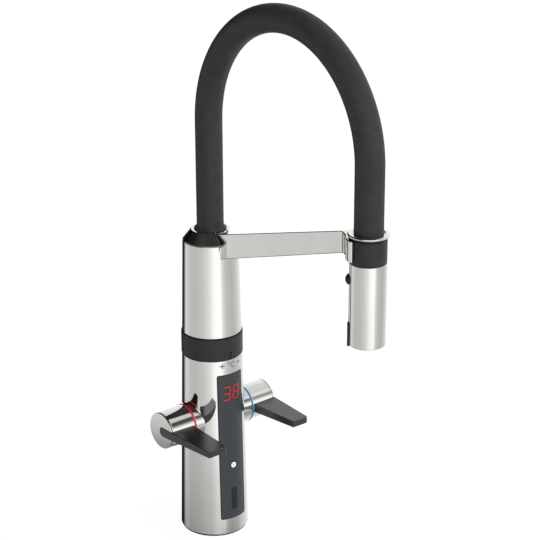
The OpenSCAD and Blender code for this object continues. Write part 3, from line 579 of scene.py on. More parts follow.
def lower_column():
    """The fixed chrome shell with its openings."""
    piece = turn("lower_column", rounded([
        (29.3, 1.5), (column_r(1.5) - 0.04, 1.5, 0.9), (column_r(LOWER_TOP), LOWER_TOP, 0.5),
        (24.8, LOWER_TOP), (24.8, 166), (column_r(166) - SHELL_WALL, 166), (29.3, 13.5),
    ]), steps=360)
    middle = (PANEL_LOW + PANEL_HIGH) / 2
    half_w, half_h = PANEL_W / 2, (PANEL_HIGH - PANEL_LOW) / 2
    opening = slab("panel_opening", rounded([
        (-half_w, middle - half_h, 2), (half_w, middle - half_h, 2),
        (half_w, middle + half_h, 2), (-half_w, middle + half_h, 2),
    ], steps=8), -8, -60, along="Y")
    combine(piece, opening)
    handle_hole = turn("handle_hole", [(-60, 0), (-60, 14.6), (60, 14.6), (60, 0)],
                       axis="X", place=(0, 0, HANDLE_Z), closed=False, steps=96)
    combine(piece, handle_hole)
    for angle in GRUB_ANGLES:
        hole = turn("grub_hole", [(20, 0), (20, GRUB_R), (40, GRUB_R), (40, 0)], axis="X",
                    place=(0, 0, GRUB_Z), closed=False, steps=24)
        combine(piece, turn_about_column(hole, angle))
    return hand_over(piece, "column", "chrome_shell", "lower_shell")


lower_column()

# %% [markdown]
# ## The upper column and the hub
# The upper half turns with the spout. It is the same kind of shell, and the hub on it is a cone
# with a flat top that the hose comes out of. The dark line between shell and cone on the real
# faucet is only the cone mirroring the dark room above it, so the two meet without a gap.

# %% Upper column and hub


def upper_column():
    """The turning chrome shell."""
    piece = turn("upper_column", rounded([
        (24.7, UPPER_FOOT), (column_r(UPPER_FOOT), UPPER_FOOT, 0.5),
        (column_r(COLUMN_H), COLUMN_H, 0.4), (22.8, COLUMN_H), (22.8, 270), (24, 262),
        (24.9, 214.5), (24.7, 212.5),
    ]), steps=256)
    return hand_over(piece, "swivel", "chrome_shell", "upper_shell")


def hub_cone():
    """The chrome cone that carries the bar and the hose."""
    piece = turn("hub_cone", rounded([
        (12.26, 295), (12.26, HUB_TOP, 0.4), (HUB_TOP_R, HUB_TOP, 0.3),
        (column_r(COLUMN_H) - 0.2, COLUMN_H + 0.1, 0.3), (22.8, COLUMN_H), (22.8, 262),
        (16, 262), (16, 276), (14.3, 276), (14.3, 289), (6.6, 289), (6.6, 295),
    ]), steps=256)
    return hand_over(piece, "swivel", "chrome_shell")


upper_column()
hub_cone()

# %% [markdown]
# ## The bar and the half cup
# The bar rises from the column and opens into a half cup that holds the hand spray. Seen from
# above, concave blends lead from the column into the bar and from the bar into the cup. Seen
# from the side it is a sloping strip that levels out at the cup. So two slabs are drawn, one
# from each side, and the bar is what they share. The blend at the column ends at the column's
# upper edge, so it is cut there, and then the edges are rounded.

# %% Bar and half cup
BAR_HALF = 7.0
CUP_IN_R = 15.8
CUP_OUT_R = 18.8
CUP_BLEND = 22.0
HUB_BLEND = 3.2


def arc(cx, cy, radius, first, last, steps):
    """Points on an arc from one angle to another, in degrees."""
    angles = [math.radians(first + (last - first) * k / steps) for k in range(steps + 1)]
    return [(cx + radius * math.cos(a), cy + radius * math.sin(a)) for a in angles]


def bar_plan():
    """The outline of bar and cup from above."""
    hub_r = column_r(COLUMN_H) + 0.1
    blend_x = BAR_HALF + HUB_BLEND
    blend_y = -math.sqrt((hub_r + HUB_BLEND) ** 2 - blend_x ** 2)
    hub_turn = math.degrees(math.atan2(-blend_y, -blend_x))
    near = [(10, -12), (hub_r * 0.42, -hub_r * 0.8)]
    right = arc(blend_x, blend_y, HUB_BLEND, hub_turn, 180, 10)
    cup_x = BAR_HALF + CUP_BLEND
    cup_y = math.sqrt((CUP_OUT_R + CUP_BLEND) ** 2 - cup_x ** 2) - REACH
    cup_turn = math.degrees(math.atan2(-REACH - cup_y, -cup_x))
    right += arc(cup_x, cup_y, CUP_BLEND, 180, 360 + cup_turn, 20)
    rim_turn = math.degrees(math.atan2(cup_y + REACH, cup_x))
    right += arc(0, -REACH, CUP_OUT_R, rim_turn, 0, 24)[1:]
    right += arc(0, -REACH, CUP_IN_R, 0, 90, 32)
    half = near[:1] + right
    left = [(-x, y) for x, y in reversed(half)]
    return half + left[1:]


def bar_side():
    """The outline of bar and cup from the side, as (y, z)."""
    bend = REACH - CUP_OUT_R - 7
    return rounded([
        (-10, HUB_TOP - 0.1), (-HUB_TOP_R - 0.2, HUB_TOP - 0.1), (-bend, CUP_TOP, 12),
        (-REACH - 1, CUP_TOP), (-REACH - 1, CUP_FOOT), (-bend - 3, CUP_FOOT, 12),
        (-column_r(COLUMN_H) - 0.1, COLUMN_H - 11.5), (-10, COLUMN_H - 11.5),
    ], steps=8)


def bar_and_cup():
    """The chrome bar with the half cup at its end."""
    piece = slab("bar_and_cup", bar_plan(), 270, 352)
    side = slab("side_view", bar_side(), -30, 30, along="X")
    combine(piece, side, "INTERSECT")
    inside = turn("inside_column", [(0, 200), (24.9, 200), (24.9, COLUMN_H), (17.2, 297.8),
                                    (0, 297.8)], closed=False, steps=96)
    combine(piece, inside)
    for sign in (-1, 1):
        combine(piece, slab("above_blend", [
            (sign * BAR_HALF, -5), (sign * BAR_HALF, -45), (sign * 45, -45), (sign * 45, -5)],
            COLUMN_H + 0.05, 310))
    activate(piece)
    bpy.ops.object.mode_set(mode="EDIT")
    merge_near(0.04)
    bpy.ops.object.mode_set(mode="OBJECT")
    round_edges(piece, 0.9, segments=4, angle=50, clamp=False)
    return hand_over(piece, "swivel", "chrome_shell", "arm")


bar_and_cup()

# %% [markdown]
# ## The temperature ring
# A black ring between the two halves sets the temperature. It stands a little proud, has soft
# rims with a thin black ring of painted shade in the gap above and below, and its front carries
# a short notch that points at the marks below.

# %% Temperature ring
RING_R = 28.38
RING_IN_R = 25.1
NOTCH_W = 2.1
NOTCH_H = 8.8
NOTCH_DEPTH = 0.6
NOTCH_X = -0.8


def temperature_ring():
    """The black ring with its notch."""
    piece = turn("black_ring", rounded([
        (RING_IN_R, LOWER_TOP + 0.5), (RING_R, LOWER_TOP + 0.5, 0.4),
        (RING_R, RING_TOP - 0.8, 0.4), (RING_IN_R, RING_TOP - 0.8),
    ]), steps=256)
    # Black rings of painted shade fill the gaps above and below the ring.
    for name, low, high in (("ring_gap_low", LOWER_TOP + 0.05, LOWER_TOP + 0.48),
                            ("ring_gap_high", RING_TOP - 0.78, RING_TOP)):
        painted_shade_ring(name, "temperature_ring", RING_IN_R, RING_R - 0.3, low, high, steps=256)
    left, right = NOTCH_X - NOTCH_W / 2, NOTCH_X + NOTCH_W / 2
    notch = slab("notch", rounded([
        (left, LOWER_TOP - 1), (right, LOWER_TOP - 1),
        (right, LOWER_TOP + NOTCH_H, 0.8), (left, LOWER_TOP + NOTCH_H, 0.8),
    ]), -RING_R - 2, -RING_R + NOTCH_DEPTH, along="Y")
    combine(piece, notch)
    # A darker black fills the notch's floor: painted shade in the recess.
    inlay = slab("notch_painted_shade", rounded([
        (left + 0.02, LOWER_TOP + 0.8), (right - 0.02, LOWER_TOP + 0.8),
        (right - 0.02, LOWER_TOP + NOTCH_H - 0.02, 0.8),
        (left + 0.02, LOWER_TOP + NOTCH_H - 0.02, 0.8),
    ]), -RING_R + 0.3, -RING_R + NOTCH_DEPTH + 0.4, along="Y")
    hand_over(inlay, "temperature_ring", "ring_black", finish=SEAL_RUBBER)
    return hand_over(piece, "temperature_ring", "ring_black", "temperature_ring")


temperature_ring()

# %% [markdown]
# ## The hose
# The hose is a straight sleeve over the column, two quarter circles that meet at the top, and a
# straight sleeve down to the spray. A circle is extruded up, spun through the two quarters, and
# extruded down again. The wall is given afterwards, so the ends are open like a cut hose. The
# supporting spring and the water hose run inside it along the same way.

# %% Hose
ARCH_R = 108.0
ARCH_TOP = 507.0
FALL_R = REACH - ARCH_R
HOSE_FOOT = 295.0
WATER_FOOT = 292.0
WATER_END = 343.9
HOSE_WALL = 2.4
SPRING_R = 9.35
WATER_R = 6.5


def along_the_arch(name, radius, wall, foot, end, corners=72):
    """An open tube that follows the hose's way from its foot to its end."""
    deselect()
    bpy.ops.mesh.primitive_circle_add(
        vertices=corners, radius=radius * MM, location=mm(0, 0, foot))
    piece = bpy.context.object
    piece.name = name
    bpy.ops.object.transform_apply(location=True)
    bpy.ops.object.mode_set(mode="EDIT")
    bpy.ops.mesh.select_all(action="SELECT")
    left_z, right_z = ARCH_TOP - ARCH_R, ARCH_TOP - FALL_R
    for _ in range(8):
        bpy.ops.mesh.extrude_region_move(
            TRANSFORM_OT_translate={"value": mm(0, 0, (left_z - foot) / 8)})
    for centre_z in (left_z, right_z):
        bpy.ops.mesh.spin(steps=60, angle=-math.pi / 2, axis=(1, 0, 0),
                          center=mm(0, -ARCH_R, centre_z))
    for _ in range(4):
        bpy.ops.mesh.extrude_region_move(
            TRANSFORM_OT_translate={"value": mm(0, 0, (end - right_z) / 4)})
    merge_near(SAME_PLACE)
    face_outwards()
    apply_modifier(piece, "SOLIDIFY", thickness=wall * MM, offset=-1)
    return piece


def hose():
    """The sleeve, the spring and the water hose."""
    tubes = (
        ("hose", HOSE_R, HOSE_WALL, HOSE_FOOT, FLANGE_Z, "hose_rubber", "hose_sleeve"),
        ("hose_spring", SPRING_R, 1.8, HOSE_FOOT, FLANGE_Z, "steel", "support_spring"),
        ("hose_core", WATER_R, 1.5, WATER_FOOT, WATER_END, "hose_inner", "water_hose"),
    )
    for name, radius, wall, foot, end, slot_name, node in tubes:
        piece = along_the_arch(name, radius, wall, foot, end)
        dress(piece, slot_name, node)
        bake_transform(piece)


hose()

# %% [markdown]
# A rubber boot seals the hose's foot. It flares where it sits on the hub.

# %% Boot


def boot():
    """The rubber boot at the hose's foot."""
    piece = turn("hose_boot_collar", rounded([
        (12.27, HUB_TOP + 0.02), (14.8, HUB_TOP + 0.02, 0.3), (14.7, HUB_TOP + 0.9, 0.4),
        (13.3, HUB_TOP + 1.9, 1.0), (12.6, HUB_TOP + 3.4, 0.3), (12.27, HUB_TOP + 3.4),
    ]))
    return hand_over(piece, "swivel", "black_gasket", "hose_boot", finish=HOSE_RUBBER)


boot()

# %% [markdown]
# ## The hand spray
# The spray hangs from a chrome flange on the hose. Below the flange are a black collar, which
# lies in the half cup, and a chrome sleeve with the nozzle in its lower end. The flange is a
# turned disc with a full round rim, and a thin black ring of painted shade fills the gap at
# either end of the collar.

# %% Flange, collar and sleeve
SPRAY_PLACE = (0, -REACH, 0)
COLLAR_IN_R = 13.9
BUTTON_TURN = 138.0
BUTTON_Z = 310.7
BUTTON_R = 4.9
STRIP_Z = 262.5


def spray_flange():
    """The chrome flange above the half cup."""
    piece = turn("spray_flange", rounded([
        (12.3, FLANGE_Z), (17.48, FLANGE_Z, 1.0), (17.48, FLANGE_Z + 2.4, 1.1),
        (13.6, FLANGE_Z + 2.5, 0.4), (12.8, FLANGE_Z + 1.6, 0.3), (12.3, FLANGE_Z + 1.6),
    ]), place=SPRAY_PLACE)
    return hand_over(piece, "hose_end", "chrome_shell", "flange_ring")


def collar():
    """The black collar that lies in the half cup."""
    piece = turn("spray_neck_collar", rounded([
        (COLLAR_IN_R, COLLAR_Z + 0.8), (SPRAY_R - 0.1, COLLAR_Z + 0.8, 0.2),
        (SPRAY_R - 0.1, FLANGE_Z - 2.0, 0.3),
        (14.5, FLANGE_Z - 2.0), (14.5, FLANGE_Z - 0.3), (12.4, FLANGE_Z - 0.3),
        (12.4, FLANGE_Z - 6), (COLLAR_IN_R, FLANGE_Z - 6),
    ]), place=SPRAY_PLACE)
    # Black rings of painted shade fill the gap under the flange and the gap at the collar's foot.
    painted_shade_ring("collar_gap_ring", "spray", 14.52, 14.7, FLANGE_Z - 1.98, FLANGE_Z - 0.3,
              place=SPRAY_PLACE)
    painted_shade_ring("collar_foot_ring", "spray", COLLAR_IN_R, SPRAY_R - 0.3, COLLAR_Z + 0.05,
              COLLAR_Z + 0.78, place=SPRAY_PLACE)
    return hand_over(piece, "spray", "ring_black", "spray_collar")


def face_button_way(piece):
    """Turns a piece made along +X to the way the button faces, and moves it to the spray."""
    turn_about_column(piece, BUTTON_TURN)
    bpy.ops.transform.translate(value=mm(*SPRAY_PLACE))
    bpy.ops.object.transform_apply(location=True, rotation=True, scale=True)
    return piece


def sleeve():
    """The chrome sleeve of the spray."""
    piece = turn("spray_barrel", rounded([
        (14.2, SPRAY_FOOT), (SPRAY_R, SPRAY_FOOT, 0.5), (SPRAY_R, COLLAR_Z, 0.3),
        (14.2, COLLAR_Z),
    ]), place=SPRAY_PLACE, steps=256)
    hole = turn("button_hole", [(5, 0), (5, BUTTON_R + 0.1), (25, BUTTON_R + 0.1), (25, 0)],
                axis="X", place=(0, 0, BUTTON_Z), closed=False, steps=64)
    combine(piece, face_button_way(hole))
    return hand_over(piece, "spray", "chrome_shell", "spray_sleeve")


spray_flange()
collar()
sleeve()

# %% [markdown]
# The button changes the jet. It is a small black dome with a rim that keeps it in, and below it
# a soft strip gives grip to the thumb.

# %% Button and grip strip


def button():
    """The domed button."""
    dome = arc(13.18, 0, 5.42, 64.7, 0, 12)
    outline = [(9.5, 3.3), (9.5, 6.2), (12.5, 6.2), (12.5, BUTTON_R), (15.4, BUTTON_R)]
    outline += dome + [(12.5, 0), (12.5, 3.3)]
    piece = turn("jet_button", outline, axis="X", place=(0, 0, BUTTON_Z), steps=64)
    face_button_way(piece)
    return hand_over(piece, "button", "grip_rubber", "spray_button")


def grip():
    """The soft strip on the sleeve."""
    half = 4.5
    piece = slab("thumb_strip", rounded([
        (-half, STRIP_Z - 10, 2), (half, STRIP_Z - 10, 2), (half, STRIP_Z + 10, 3),
        (-half, STRIP_Z + 10, 3)]), 10, 20, along="X")
    outside = turn("strip_shell", [(15.0, 240), (16.4, 240), (16.4, 290), (15.0, 290)], steps=256)
    combine(piece, outside, "INTERSECT")
    round_edges(piece, 0.35, segments=3, angle=50)
    face_button_way(piece)
    return hand_over(piece, "spray", "grip_rubber", "grip_strip")


button()
grip()

# %% [markdown]
# ## The levers
# A lever is one casting: a wedge with a half-round root that reaches through the barrel, a top
# that falls a little and a belly that rises towards the tip. Its side view is extruded across
# its width, and a slab with its plan cuts the taper seen from above. The same shape with a
# little to spare is the slot that the lever sits in, so one function draws both. Each tip has
# the place and the radius of its inner corner, and then those of its outer corner.

# %% Lever shape
SIDES = {"left": -1, "right": 1}
LEVER_REACH = 69.5
ROOT_BACK = 3.0
ROOT_HALF = 4.4
TIP_DROP = 0.5
TIP_T = 6.1
LEVER_TIP = {"left": (38.3, 2.0, 58.2, 0.8), "right": (40.0, 0.8, 57.8, 3.0)}
LEVER_END = 61.1
HUB_CLEAR = 8.2
HUB_END = 47.0


def lever_shape(name, side, spare=0.0, end=LEVER_END):
    """The lever's shape, or with some spare the slot for it, as far out as end."""
    sign = SIDES[side]
    tip_top = ROOT_HALF - TIP_DROP
    profile = [(-LEVER_REACH, tip_top + spare)]
    profile += arc(-ROOT_BACK, 0, ROOT_HALF + spare, 90, -90, 20)
    profile += [(-LEVER_REACH, tip_top - TIP_T - spare)]
    piece = slab(name, [(y, HANDLE_Z + z) for y, z in profile], sign * 20, sign * 70, along="X")
    tip_in, corner_in, tip_out, corner_out = LEVER_TIP[side]
    plan = rounded([
        (sign * (34.8 - spare), spare - HUB_CLEAR), (sign * (HUB_END - spare), spare - HUB_CLEAR),
        (sign * (HUB_END - spare), 6), (sign * end, 6), (sign * end, -17),
        (sign * tip_out, -LEVER_REACH, corner_out), (sign * tip_in, -LEVER_REACH, corner_in)],
        steps=8)
    cutter = slab("lever_plan", plan, HANDLE_Z - 20, HANDLE_Z + 20)
    return combine(piece, cutter, "INTERSECT")


# %% Levers


def lever(side):
    """The dark lever of one handle."""
    piece = lever_shape(f"lever_blade_{side}", side)
    round_edges(piece, 0.7, segments=4, angle=50)
    return hand_over(piece, f"lever_{side}", "lever_black", f"lever_{side}")


for handle_side in SIDES:
    lever(handle_side)

# %% [markdown]
# ## The handles
# Each handle has a chrome base sleeve that grows out of the column, a thin coloured ring, a
# chrome barrel and an end disc. The outlines run along X, away from the column, so one function
# draws both sides. The end disc is very slightly domed, which makes its reflection soft, and a
# black washer lies behind it. On the hot side the washer is made larger, so that it shows there
# only, as a thin black line of painted shade at the disc's edge.

# %% Handle pieces
BARREL_IN = 34.5
BARREL_OUT = 58.9
BEVEL = 0.3
DISC_IN = {"left": 59.9, "right": 59.0}
# The washer is larger on the hot side, so that it shows there as a line of painted shade.
WASHER_SHADE_R = {"left": 16.8, "right": 15.9}
DISC_OUT = 60.9
DOME_R = 16.2
DOME_H = 0.3
SLOT_SPARE = 0.15
SLOT_END = 64


def turn_handle(name, side, outline, closed=True, steps=160):
    """A piece turned round the handles' axis, on one side of the column."""
    mirrored = [(SIDES[side] * x, r) for x, r in outline]
    return turn(f"{name}_{side}", mirrored, axis="X", place=(0, 0, HANDLE_Z), closed=closed,
                steps=steps)


def cut_slot(piece, side):
    """Cuts the slot that the lever sits in."""
    return combine(piece, lever_shape("slot", side, SLOT_SPARE, end=SLOT_END))


def base_sleeve(side):
    """The chrome sleeve that grows out of the column."""
    piece = turn_handle("handle_sleeve", side, rounded([
        (14, 5.3), (14, 18.2), (32.7, 18.2, 0.3), (32.7, 5.3)]))
    inside = turn("column_inside", [(0, 60), (column_r(60) - 0.2, 60),
                                    (column_r(160) - 0.2, 160), (0, 160)],
                  closed=False, steps=360)
    combine(piece, inside)
    return hand_over(piece, "column", "chrome_shell", f"base_sleeve_{side}")


def index_ring(side):
    """The coloured ring, red for hot and blue for cold."""
    slot_name, node = ("hot_red", "hot_ring") if side == "left" else ("cold_blue", "cold_ring")
    piece = turn_handle("index_ring", side, rounded([
        (32.75, 8), (32.75, 18.25, 0.2), (34.45, 18.25, 0.2), (34.45, 8)]))
    return hand_over(piece, "column", slot_name, node)


def barrel(side):
    """The chrome barrel that the lever is set in."""
    piece = turn_handle("handle_barrel", side, rounded([
        (BARREL_IN, 5), (BARREL_IN, 17.95, 0.3), (BARREL_OUT - BEVEL, 17.03),
        (BARREL_OUT, 17.0 - 0.8 * BEVEL, 0.1), (BARREL_OUT, 15.6), (BARREL_OUT - 2, 15.6),
        (BARREL_OUT - 2, 5)]))
    cut_slot(piece, side)
    return hand_over(piece, f"lever_{side}", "chrome_shell", f"barrel_{side}")


def end_disc(side):
    """The chrome disc at the barrel's end."""
    dome = [(DISC_OUT - DOME_H * (r / DOME_R) ** 2, r) for r in (DOME_R, 14, 12, 10, 8, 6, 4, 2, 0)]
    piece = turn_handle("handle_disc", side, rounded([
        (DISC_IN[side], 0), (DISC_IN[side], 17.0, 0.2),
        (DISC_OUT - DOME_H - 0.1, 17.0, 0.4)] + dome,
        closed=False), closed=False)
    cut_slot(piece, side)
    return hand_over(piece, f"lever_{side}", "chrome_shell", f"end_disc_{side}")


def washer_and_painted_shade(side):
    """The black washer behind the disc; larger on the hot side, where it shows as a thin line of
    painted shade.
    """
    piece = turn_handle("washer_and_painted_shade", side, [
        (BARREL_OUT - 1, 0), (BARREL_OUT - 1, 15.5), (BARREL_OUT + 0.02, 15.5),
        (BARREL_OUT + 0.02, WASHER_SHADE_R[side]), (DISC_IN[side] - 0.02, WASHER_SHADE_R[side]),
        (DISC_IN[side] - 0.02, 0)],
        closed=False)
    cut_slot(piece, side)
    return hand_over(piece, f"lever_{side}", "inner_black", finish=SEAL_RUBBER)


for handle_side in SIDES:
    base_sleeve(handle_side)
    index_ring(handle_side)
    barrel(handle_side)
    end_disc(handle_side)
    washer_and_painted_shade(handle_side)

# %% [markdown]
# ## Marks on the column
# Under the ring the column says which way is warmer: a plus, the sign for degrees Celsius and a
# minus, etched in grey. Each mark is drawn flat in front of the column and then shrunk onto it
# along Y, so it follows the curve and stands a hair above the chrome.

# %% Marks
MARK_Z = 173.0
STROKE = 0.95
DRAWN_Y = -40


def flat_shape(name, outline):
    """A filled outline of (x, z) in front of the column."""
    piece = draw_line(name, [(x, DRAWN_Y, z) for x, z in outline])
    bpy.ops.mesh.select_all(action="SELECT")
    bpy.ops.mesh.edge_face_add()
    bpy.ops.object.mode_set(mode="OBJECT")
    return piece


def wrap_mark(piece, angle):
    """Lays a flat mark on the column, turned to an angle from the front."""
    activate(piece)
    bpy.ops.object.mode_set(mode="EDIT")
    bpy.ops.mesh.select_all(action="SELECT")
    bpy.ops.mesh.subdivide(number_cuts=3)
    bpy.ops.object.mode_set(mode="OBJECT")
    target = bpy.data.objects["lower_column"]
    apply_modifier(piece, "SHRINKWRAP", target=target, wrap_method="PROJECT",
                   use_project_y=True, use_negative_direction=True,
                   use_positive_direction=True, offset=0.04 * MM)
    turn_about_column(piece, angle)
    return hand_over(piece, "column", "chrome_shell", finish=ETCHED_GREY)


def flat_bar(name, width, height, z):
    """A small flat rectangle in front of the column."""
    half_w, half_h = width / 2, height / 2
    return flat_shape(name, [(-half_w, z - half_h), (half_w, z - half_h),
                             (half_w, z + half_h), (-half_w, z + half_h)])


def flat_arc(name, x, z, radius, width, first, last, steps):
    """A flat band along an arc in front of the column."""
    outer = arc(x, z, radius, first, last, steps)
    inner = arc(x, z, radius - width, last, first, steps)
    return flat_shape(name, outer + inner)


def marks():
    """Plus, degree sign, C and minus."""
    wrap_mark(flat_bar("mark_plus_across", 5.2, STROKE, MARK_Z), -19)
    wrap_mark(flat_bar("mark_plus_up", STROKE, 4.9, MARK_Z), -19)
    wrap_mark(flat_bar("mark_minus", 5.2, STROKE, MARK_Z), 20)
    wrap_mark(flat_arc("mark_celsius", 0.8, MARK_Z - 0.2, 2.75, 0.7, 48, 312, 24), 3)
    wrap_mark(flat_arc("mark_degree", -4.0, MARK_Z + 1.8, 1.0, 0.5, 0, 350, 16), 3)


marks()

# %% [markdown]
# ## The touch key's mark
# The white key in the panel has a small dark keyhole. In the solid it is a recess, and a dark
# inlay behind it fills it and reaches a little into the key round it.

# %% Key mark
KEY_Z = 71.5


def key_mark():
    """The dark inlay of the touch key."""
    front = -column_r(KEY_Z) + 0.1
    head = arc(0, KEY_Z + 0.45, 0.98, -57, 237, 16)
    stem = [(-0.55, KEY_Z - 1.6), (0.55, KEY_Z - 1.6)]
    piece = slab("key_inlay", head + stem, front, front + 0.25, along="Y")
    return hand_over(piece, "column", "window_black", finish=SEAL_RUBBER)


key_mark()

# %% [markdown]
# ## The nozzle
# Seen from below, the spray shows a ring of soft nubs that the jets come out of. One nub is
# modelled, and the others are its copies, set in three rings round the middle.

# %% Nozzle nubs
NUB_RINGS = ((6, 4.6), (12, 8.2), (16, 11.4))
NUB = [(0.35, 255.0), (0.35, 254.1), (0.6, 254.1), (0.95, 254.62), (0.95, 255.0)]


def nozzle_nubs():
    """The soft nubs in the spray's face."""
    places = [
        Vector((radius * math.cos(a), -REACH + radius * math.sin(a), 0))
        for count, radius in NUB_RINGS
        for a in (2 * math.pi * k / count for k in range(count))]
    first = turn("nozzle_nubs", NUB, place=places[0], steps=10)
    nubs = [first]
    for place in places[1:]:
        activate(first)
        bpy.ops.object.duplicate()
        bpy.ops.transform.translate(value=mm(*(place - places[0])))
        nubs.append(bpy.context.object)
    deselect()
    for nub in nubs:
        nub.select_set(True)
    bpy.context.view_layer.objects.active = first
    bpy.ops.object.join()
    return hand_over(first, "spray", "grip_rubber")


nozzle_nubs()

# %% [markdown]
# ## The plunger's spring
# The valve's plunger works against a small wire spring inside the coil. A wire section is swept
# up a screw line, and the ends are capped. The face that closes the section is taken away again,
# because only its edges are swept. The spring stands between the plunger and the coil's roof.

# %% Plunger spring
SPRING_TURNS = 3
WIRE_R = 0.38


def plunger_spring():
    """The wire spring above the plunger."""
    low_corner, high_corner = (Vector(corner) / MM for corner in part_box("plunger_spring"))
    centre = (low_corner + high_corner) / 2
    inset = WIRE_R + 0.02
    radius = (high_corner.x - low_corner.x) / 2 - inset
    foot, roof = low_corner.z + inset, high_corner.z - inset
    section = arc(radius, foot, WIRE_R, 0, 330, 11)
    piece = draw_line("plunger_wire_spring", [(x, 0, z) for x, z in section])
    bpy.ops.mesh.select_all(action="SELECT")
    bpy.ops.mesh.edge_face_add()
    bpy.ops.mesh.delete(type="ONLY_FACE")
    bpy.ops.object.mode_set(mode="OBJECT")
    apply_modifier(
        piece, "SCREW", axis="Z", steps=32, render_steps=32, iterations=SPRING_TURNS,
        screw_offset=(roof - foot) / SPRING_TURNS * MM, use_merge_vertices=False)
    bpy.ops.object.mode_set(mode="EDIT")
    merge_near(SAME_PLACE)
    bpy.ops.mesh.select_all(action="SELECT")
    bpy.ops.mesh.fill_holes(sides=12)
    face_outwards()
    bpy.ops.transform.translate(value=mm(centre.x, centre.y, 0))
    hand_over(piece, "column", "steel", "plunger_spring")
    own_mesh(piece)


plunger_spring()

# %% [markdown]
# ## The studio
# Chrome shows the room, so the room is lit as a product photographer would: white paper below
# and behind, one broad bright panel in front, greyer walls beside it, a black flag behind the
# left edge and a dark ceiling. The world paints that room for reflections. To everything else it
# gives plain white light that is weak on the left and strong on the right, which rounds the dark
# pieces. Angles are measured from the direction of the camera, so the panel stays where the
# photographer put it.

# %% Studio room


def ramp_of(tree, factor, stops):
    """A ramp through grey levels at given places."""
    node = add_node(tree, "ShaderNodeValToRGB", inputs={"Fac": factor})
    ramp = node.color_ramp
    while len(ramp.elements) > 1:
        ramp.elements.remove(ramp.elements[-1])
    ramp.elements[0].position = stops[0][0]
    ramp.elements[0].color = (stops[0][1],) * 3 + (1,)
    for place, grey in stops[1:]:
        ramp.elements.new(place).color = (grey,) * 3 + (1,)
    return node.outputs["Color"]


def around(degrees):
    """A place on the ramp that runs once round the room, from behind the object at -180."""
    return (degrees + 180) / 360


def above(degrees):
    """A place on the ramp that runs from straight down to straight up."""
    return (degrees + 90) / 180


def mixed(tree, share, first, second, blend_type="MIX"):
    """Two colours mixed by a share."""
    settings = {"data_type": "RGBA", "blend_type": blend_type}
    mix = add_node(tree, "ShaderNodeMix", settings, {"Factor": share, 6: first, 7: second})
    return mix.outputs[2]


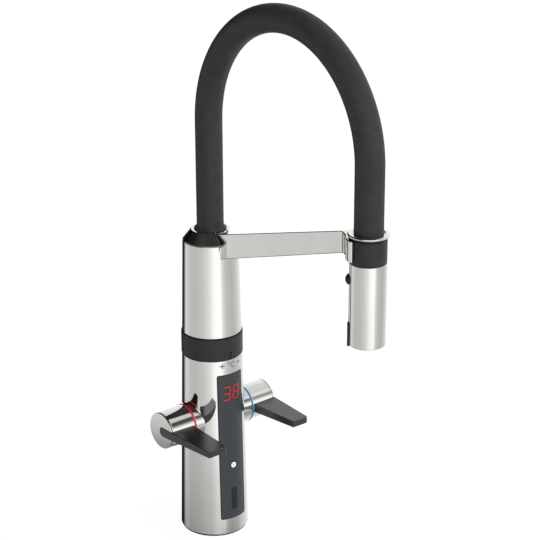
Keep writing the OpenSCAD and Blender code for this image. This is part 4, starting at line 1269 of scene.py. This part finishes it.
def studio_room():
    """The world: a painted room for reflections and white light for all else."""
    world = bpy.data.worlds.new("studio")
    bpy.context.scene.world = world
    world.use_nodes = True
    tree = world.node_tree
    tree.nodes.clear()
    coords = add_node(tree, "ShaderNodeTexCoord").outputs["Generated"]
    facing = add_node(tree, "ShaderNodeVectorRotate", {"rotation_type": "Z_AXIS"}, {
        "Vector": coords, "Angle": -math.radians(CAMERA_AZIMUTH - 90)})
    parts = add_node(tree, "ShaderNodeSeparateXYZ", inputs={"Vector": facing.outputs["Vector"]})
    turned = add_node(tree, "ShaderNodeMath", {"operation": "ARCTAN2"}, {
        0: parts.outputs["Y"], 1: parts.outputs["X"]})
    round_share = add_node(tree, "ShaderNodeMapRange", inputs={
        "Value": turned.outputs["Value"], "From Min": -math.pi, "From Max": math.pi})
    raised = add_node(tree, "ShaderNodeMath", {"operation": "ARCSINE"}, {0: parts.outputs["Z"]})
    up_share = add_node(tree, "ShaderNodeMapRange", inputs={
        "Value": raised.outputs["Value"], "From Min": -math.pi / 2, "From Max": math.pi / 2})
    turn_share, height_share = round_share.outputs["Result"], up_share.outputs["Result"]
    wall = ramp_of(tree, turn_share, [
        (around(-180), 1.0), (around(-171), 1.0), (around(-168), 0.02), (around(-136), 0.02),
        (around(-129), 0.16), (around(-120), 0.6), (around(-106), 0.6), (around(-88), 0.48),
        (around(-59), 0.475), (around(-33), 0.53), (around(-10), 0.67), (around(14), 0.96),
        (around(38), 1.0), (around(46), 0.68), (around(62), 0.5), (around(90), 0.44),
        (around(108), 0.5), (around(136), 0.66), (around(160), 0.78), (around(176), 0.84),
        (around(180), 1.0)])
    table_edge = ramp_of(tree, height_share, [
        (above(-90), 0.4), (above(-32), 0.4), (above(-28), 0.48), (above(-27.5), 0.57),
        (above(-26.5), 0.73), (above(-25), 0.87), (above(-23), 1.0)])
    edge_share = ramp_of(tree, turn_share, [(around(70), 1.0), (around(105), 0.0)])
    front_edge = ramp_of(tree, height_share, [
        (above(-25), 0.84), (above(-23.6), 0.97), (above(-22), 1.0)])
    front_share = ramp_of(tree, turn_share, [
        (around(-30), 0.0), (around(-5), 1.0), (around(50), 1.0), (around(75), 0.0)])
    left_fall = ramp_of(tree, height_share, [
        (above(2), 1.0), (above(5), 0.3), (above(8), 0.12), (above(13), 0.035), (above(18), 0.01),
        (above(36), 0.02), (above(48), 0.07)])
    low_room = mixed(tree, edge_share, wall, table_edge, "MULTIPLY")
    low_room = mixed(tree, front_share, low_room, front_edge, "MULTIPLY")
    left_room = mixed(tree, 1.0, wall, left_fall, "MULTIPLY")
    room = ramp_of(tree, height_share, [
        (above(8), 1.0), (above(20), 0.81), (above(34), 0.76), (above(41), 0.7),
        (above(48), 0.61), (above(58), 0.58), (above(66), 0.05)])
    right_room = ramp_of(tree, height_share, [
        (above(2), 0.9), (above(8), 0.65), (above(12), 0.54), (above(17), 0.4), (above(22), 0.3),
        (above(27), 0.27), (above(30), 0.38), (above(34), 0.68), (above(42), 0.72),
        (above(47), 0.53), (above(51), 0.59), (above(60), 0.55), (above(66), 0.05)])
    beside_room = ramp_of(tree, height_share, [
        (above(8), 0.9), (above(13), 0.82), (above(18), 0.46), (above(23), 0.25),
        (above(28), 0.09), (above(33), 0.05), (above(42), 0.08), (above(46), 0.33),
        (above(50), 0.55), (above(57), 0.52), (above(63), 0.05)])
    front_room = ramp_of(tree, height_share, [(above(33), 0.95), (above(41), 0.03)])
    zones = ((100, 122, right_room), (79, 85, beside_room), (48, 62, front_room),
             (-38, -24, left_room))
    for full, gone, zone in zones:
        zone_share = ramp_of(tree, turn_share, [
            (around(-172), 0.0), (around(-169), 1.0), (around(full), 1.0), (around(gone), 0.0)])
        room = mixed(tree, zone_share, room, zone)
    room = mixed(tree, ramp_of(tree, height_share, [(above(-9), 1.0), (above(-4), 0.0)]),
                 room, low_room)
    reflected = add_node(tree, "ShaderNodeBackground", inputs={
        "Color": room, "Strength": 1.15})
    soft_light = ramp_of(tree, turn_share, [
        (around(-180), 1.5), (around(-166), 0.3), (around(-105), 0.05), (around(-40), 0.5),
        (around(30), 1.9), (around(82), 2.4), (around(108), 1.2), (around(150), 1.0),
        (around(180), 1.5)])
    plain = add_node(tree, "ShaderNodeBackground", inputs={
        "Color": soft_light, "Strength": 1.05})
    path = add_node(tree, "ShaderNodeLightPath")
    chosen = add_node(tree, "ShaderNodeMixShader", inputs={
        0: path.outputs["Is Glossy Ray"], 1: plain.outputs["Background"],
        2: reflected.outputs["Background"]})
    add_node(tree, "ShaderNodeOutputWorld", inputs={"Surface": chosen.outputs["Shader"]})


def studio_floor():
    """A white light table, so that the faucet's own shadow nearly vanishes."""
    deselect()
    bpy.ops.mesh.primitive_plane_add(size=12)
    floor = bpy.context.object
    floor.name = "light_table"
    opal, tree, shader, coords = new_finish("opal_light_table", "#4c4c4c", 0.9)
    vary_colour(tree, shader, speckle(tree, coords, 60), "#4b4b4b", "#4d4d4d")
    shader.inputs["Emission Color"].default_value = (1, 1, 1, 1)
    shader.inputs["Emission Strength"].default_value = 0.93
    floor.data.materials.append(opal)
    floor.visible_glossy = False


def key_light():
    """A large soft panel on the right, for the shape of the dark pieces."""
    deselect()
    bpy.ops.object.light_add(type="AREA", location=(0.75, -1.15, 1.1))
    lamp = bpy.context.object
    lamp.name = "soft_panel"
    lamp.data.shape = "RECTANGLE"
    lamp.data.size = 1.2
    lamp.data.size_y = 1.2
    lamp.data.energy = 3
    lamp.rotation_euler = (Vector((0, -0.1, 0.25)) - lamp.location).to_track_quat(
        "-Z", "Y").to_euler()
    lamp.visible_glossy = False


studio_room()
studio_floor()
key_light()
bpy.context.scene.view_settings.view_transform = "Standard"
bpy.context.scene.view_settings.look = "None"
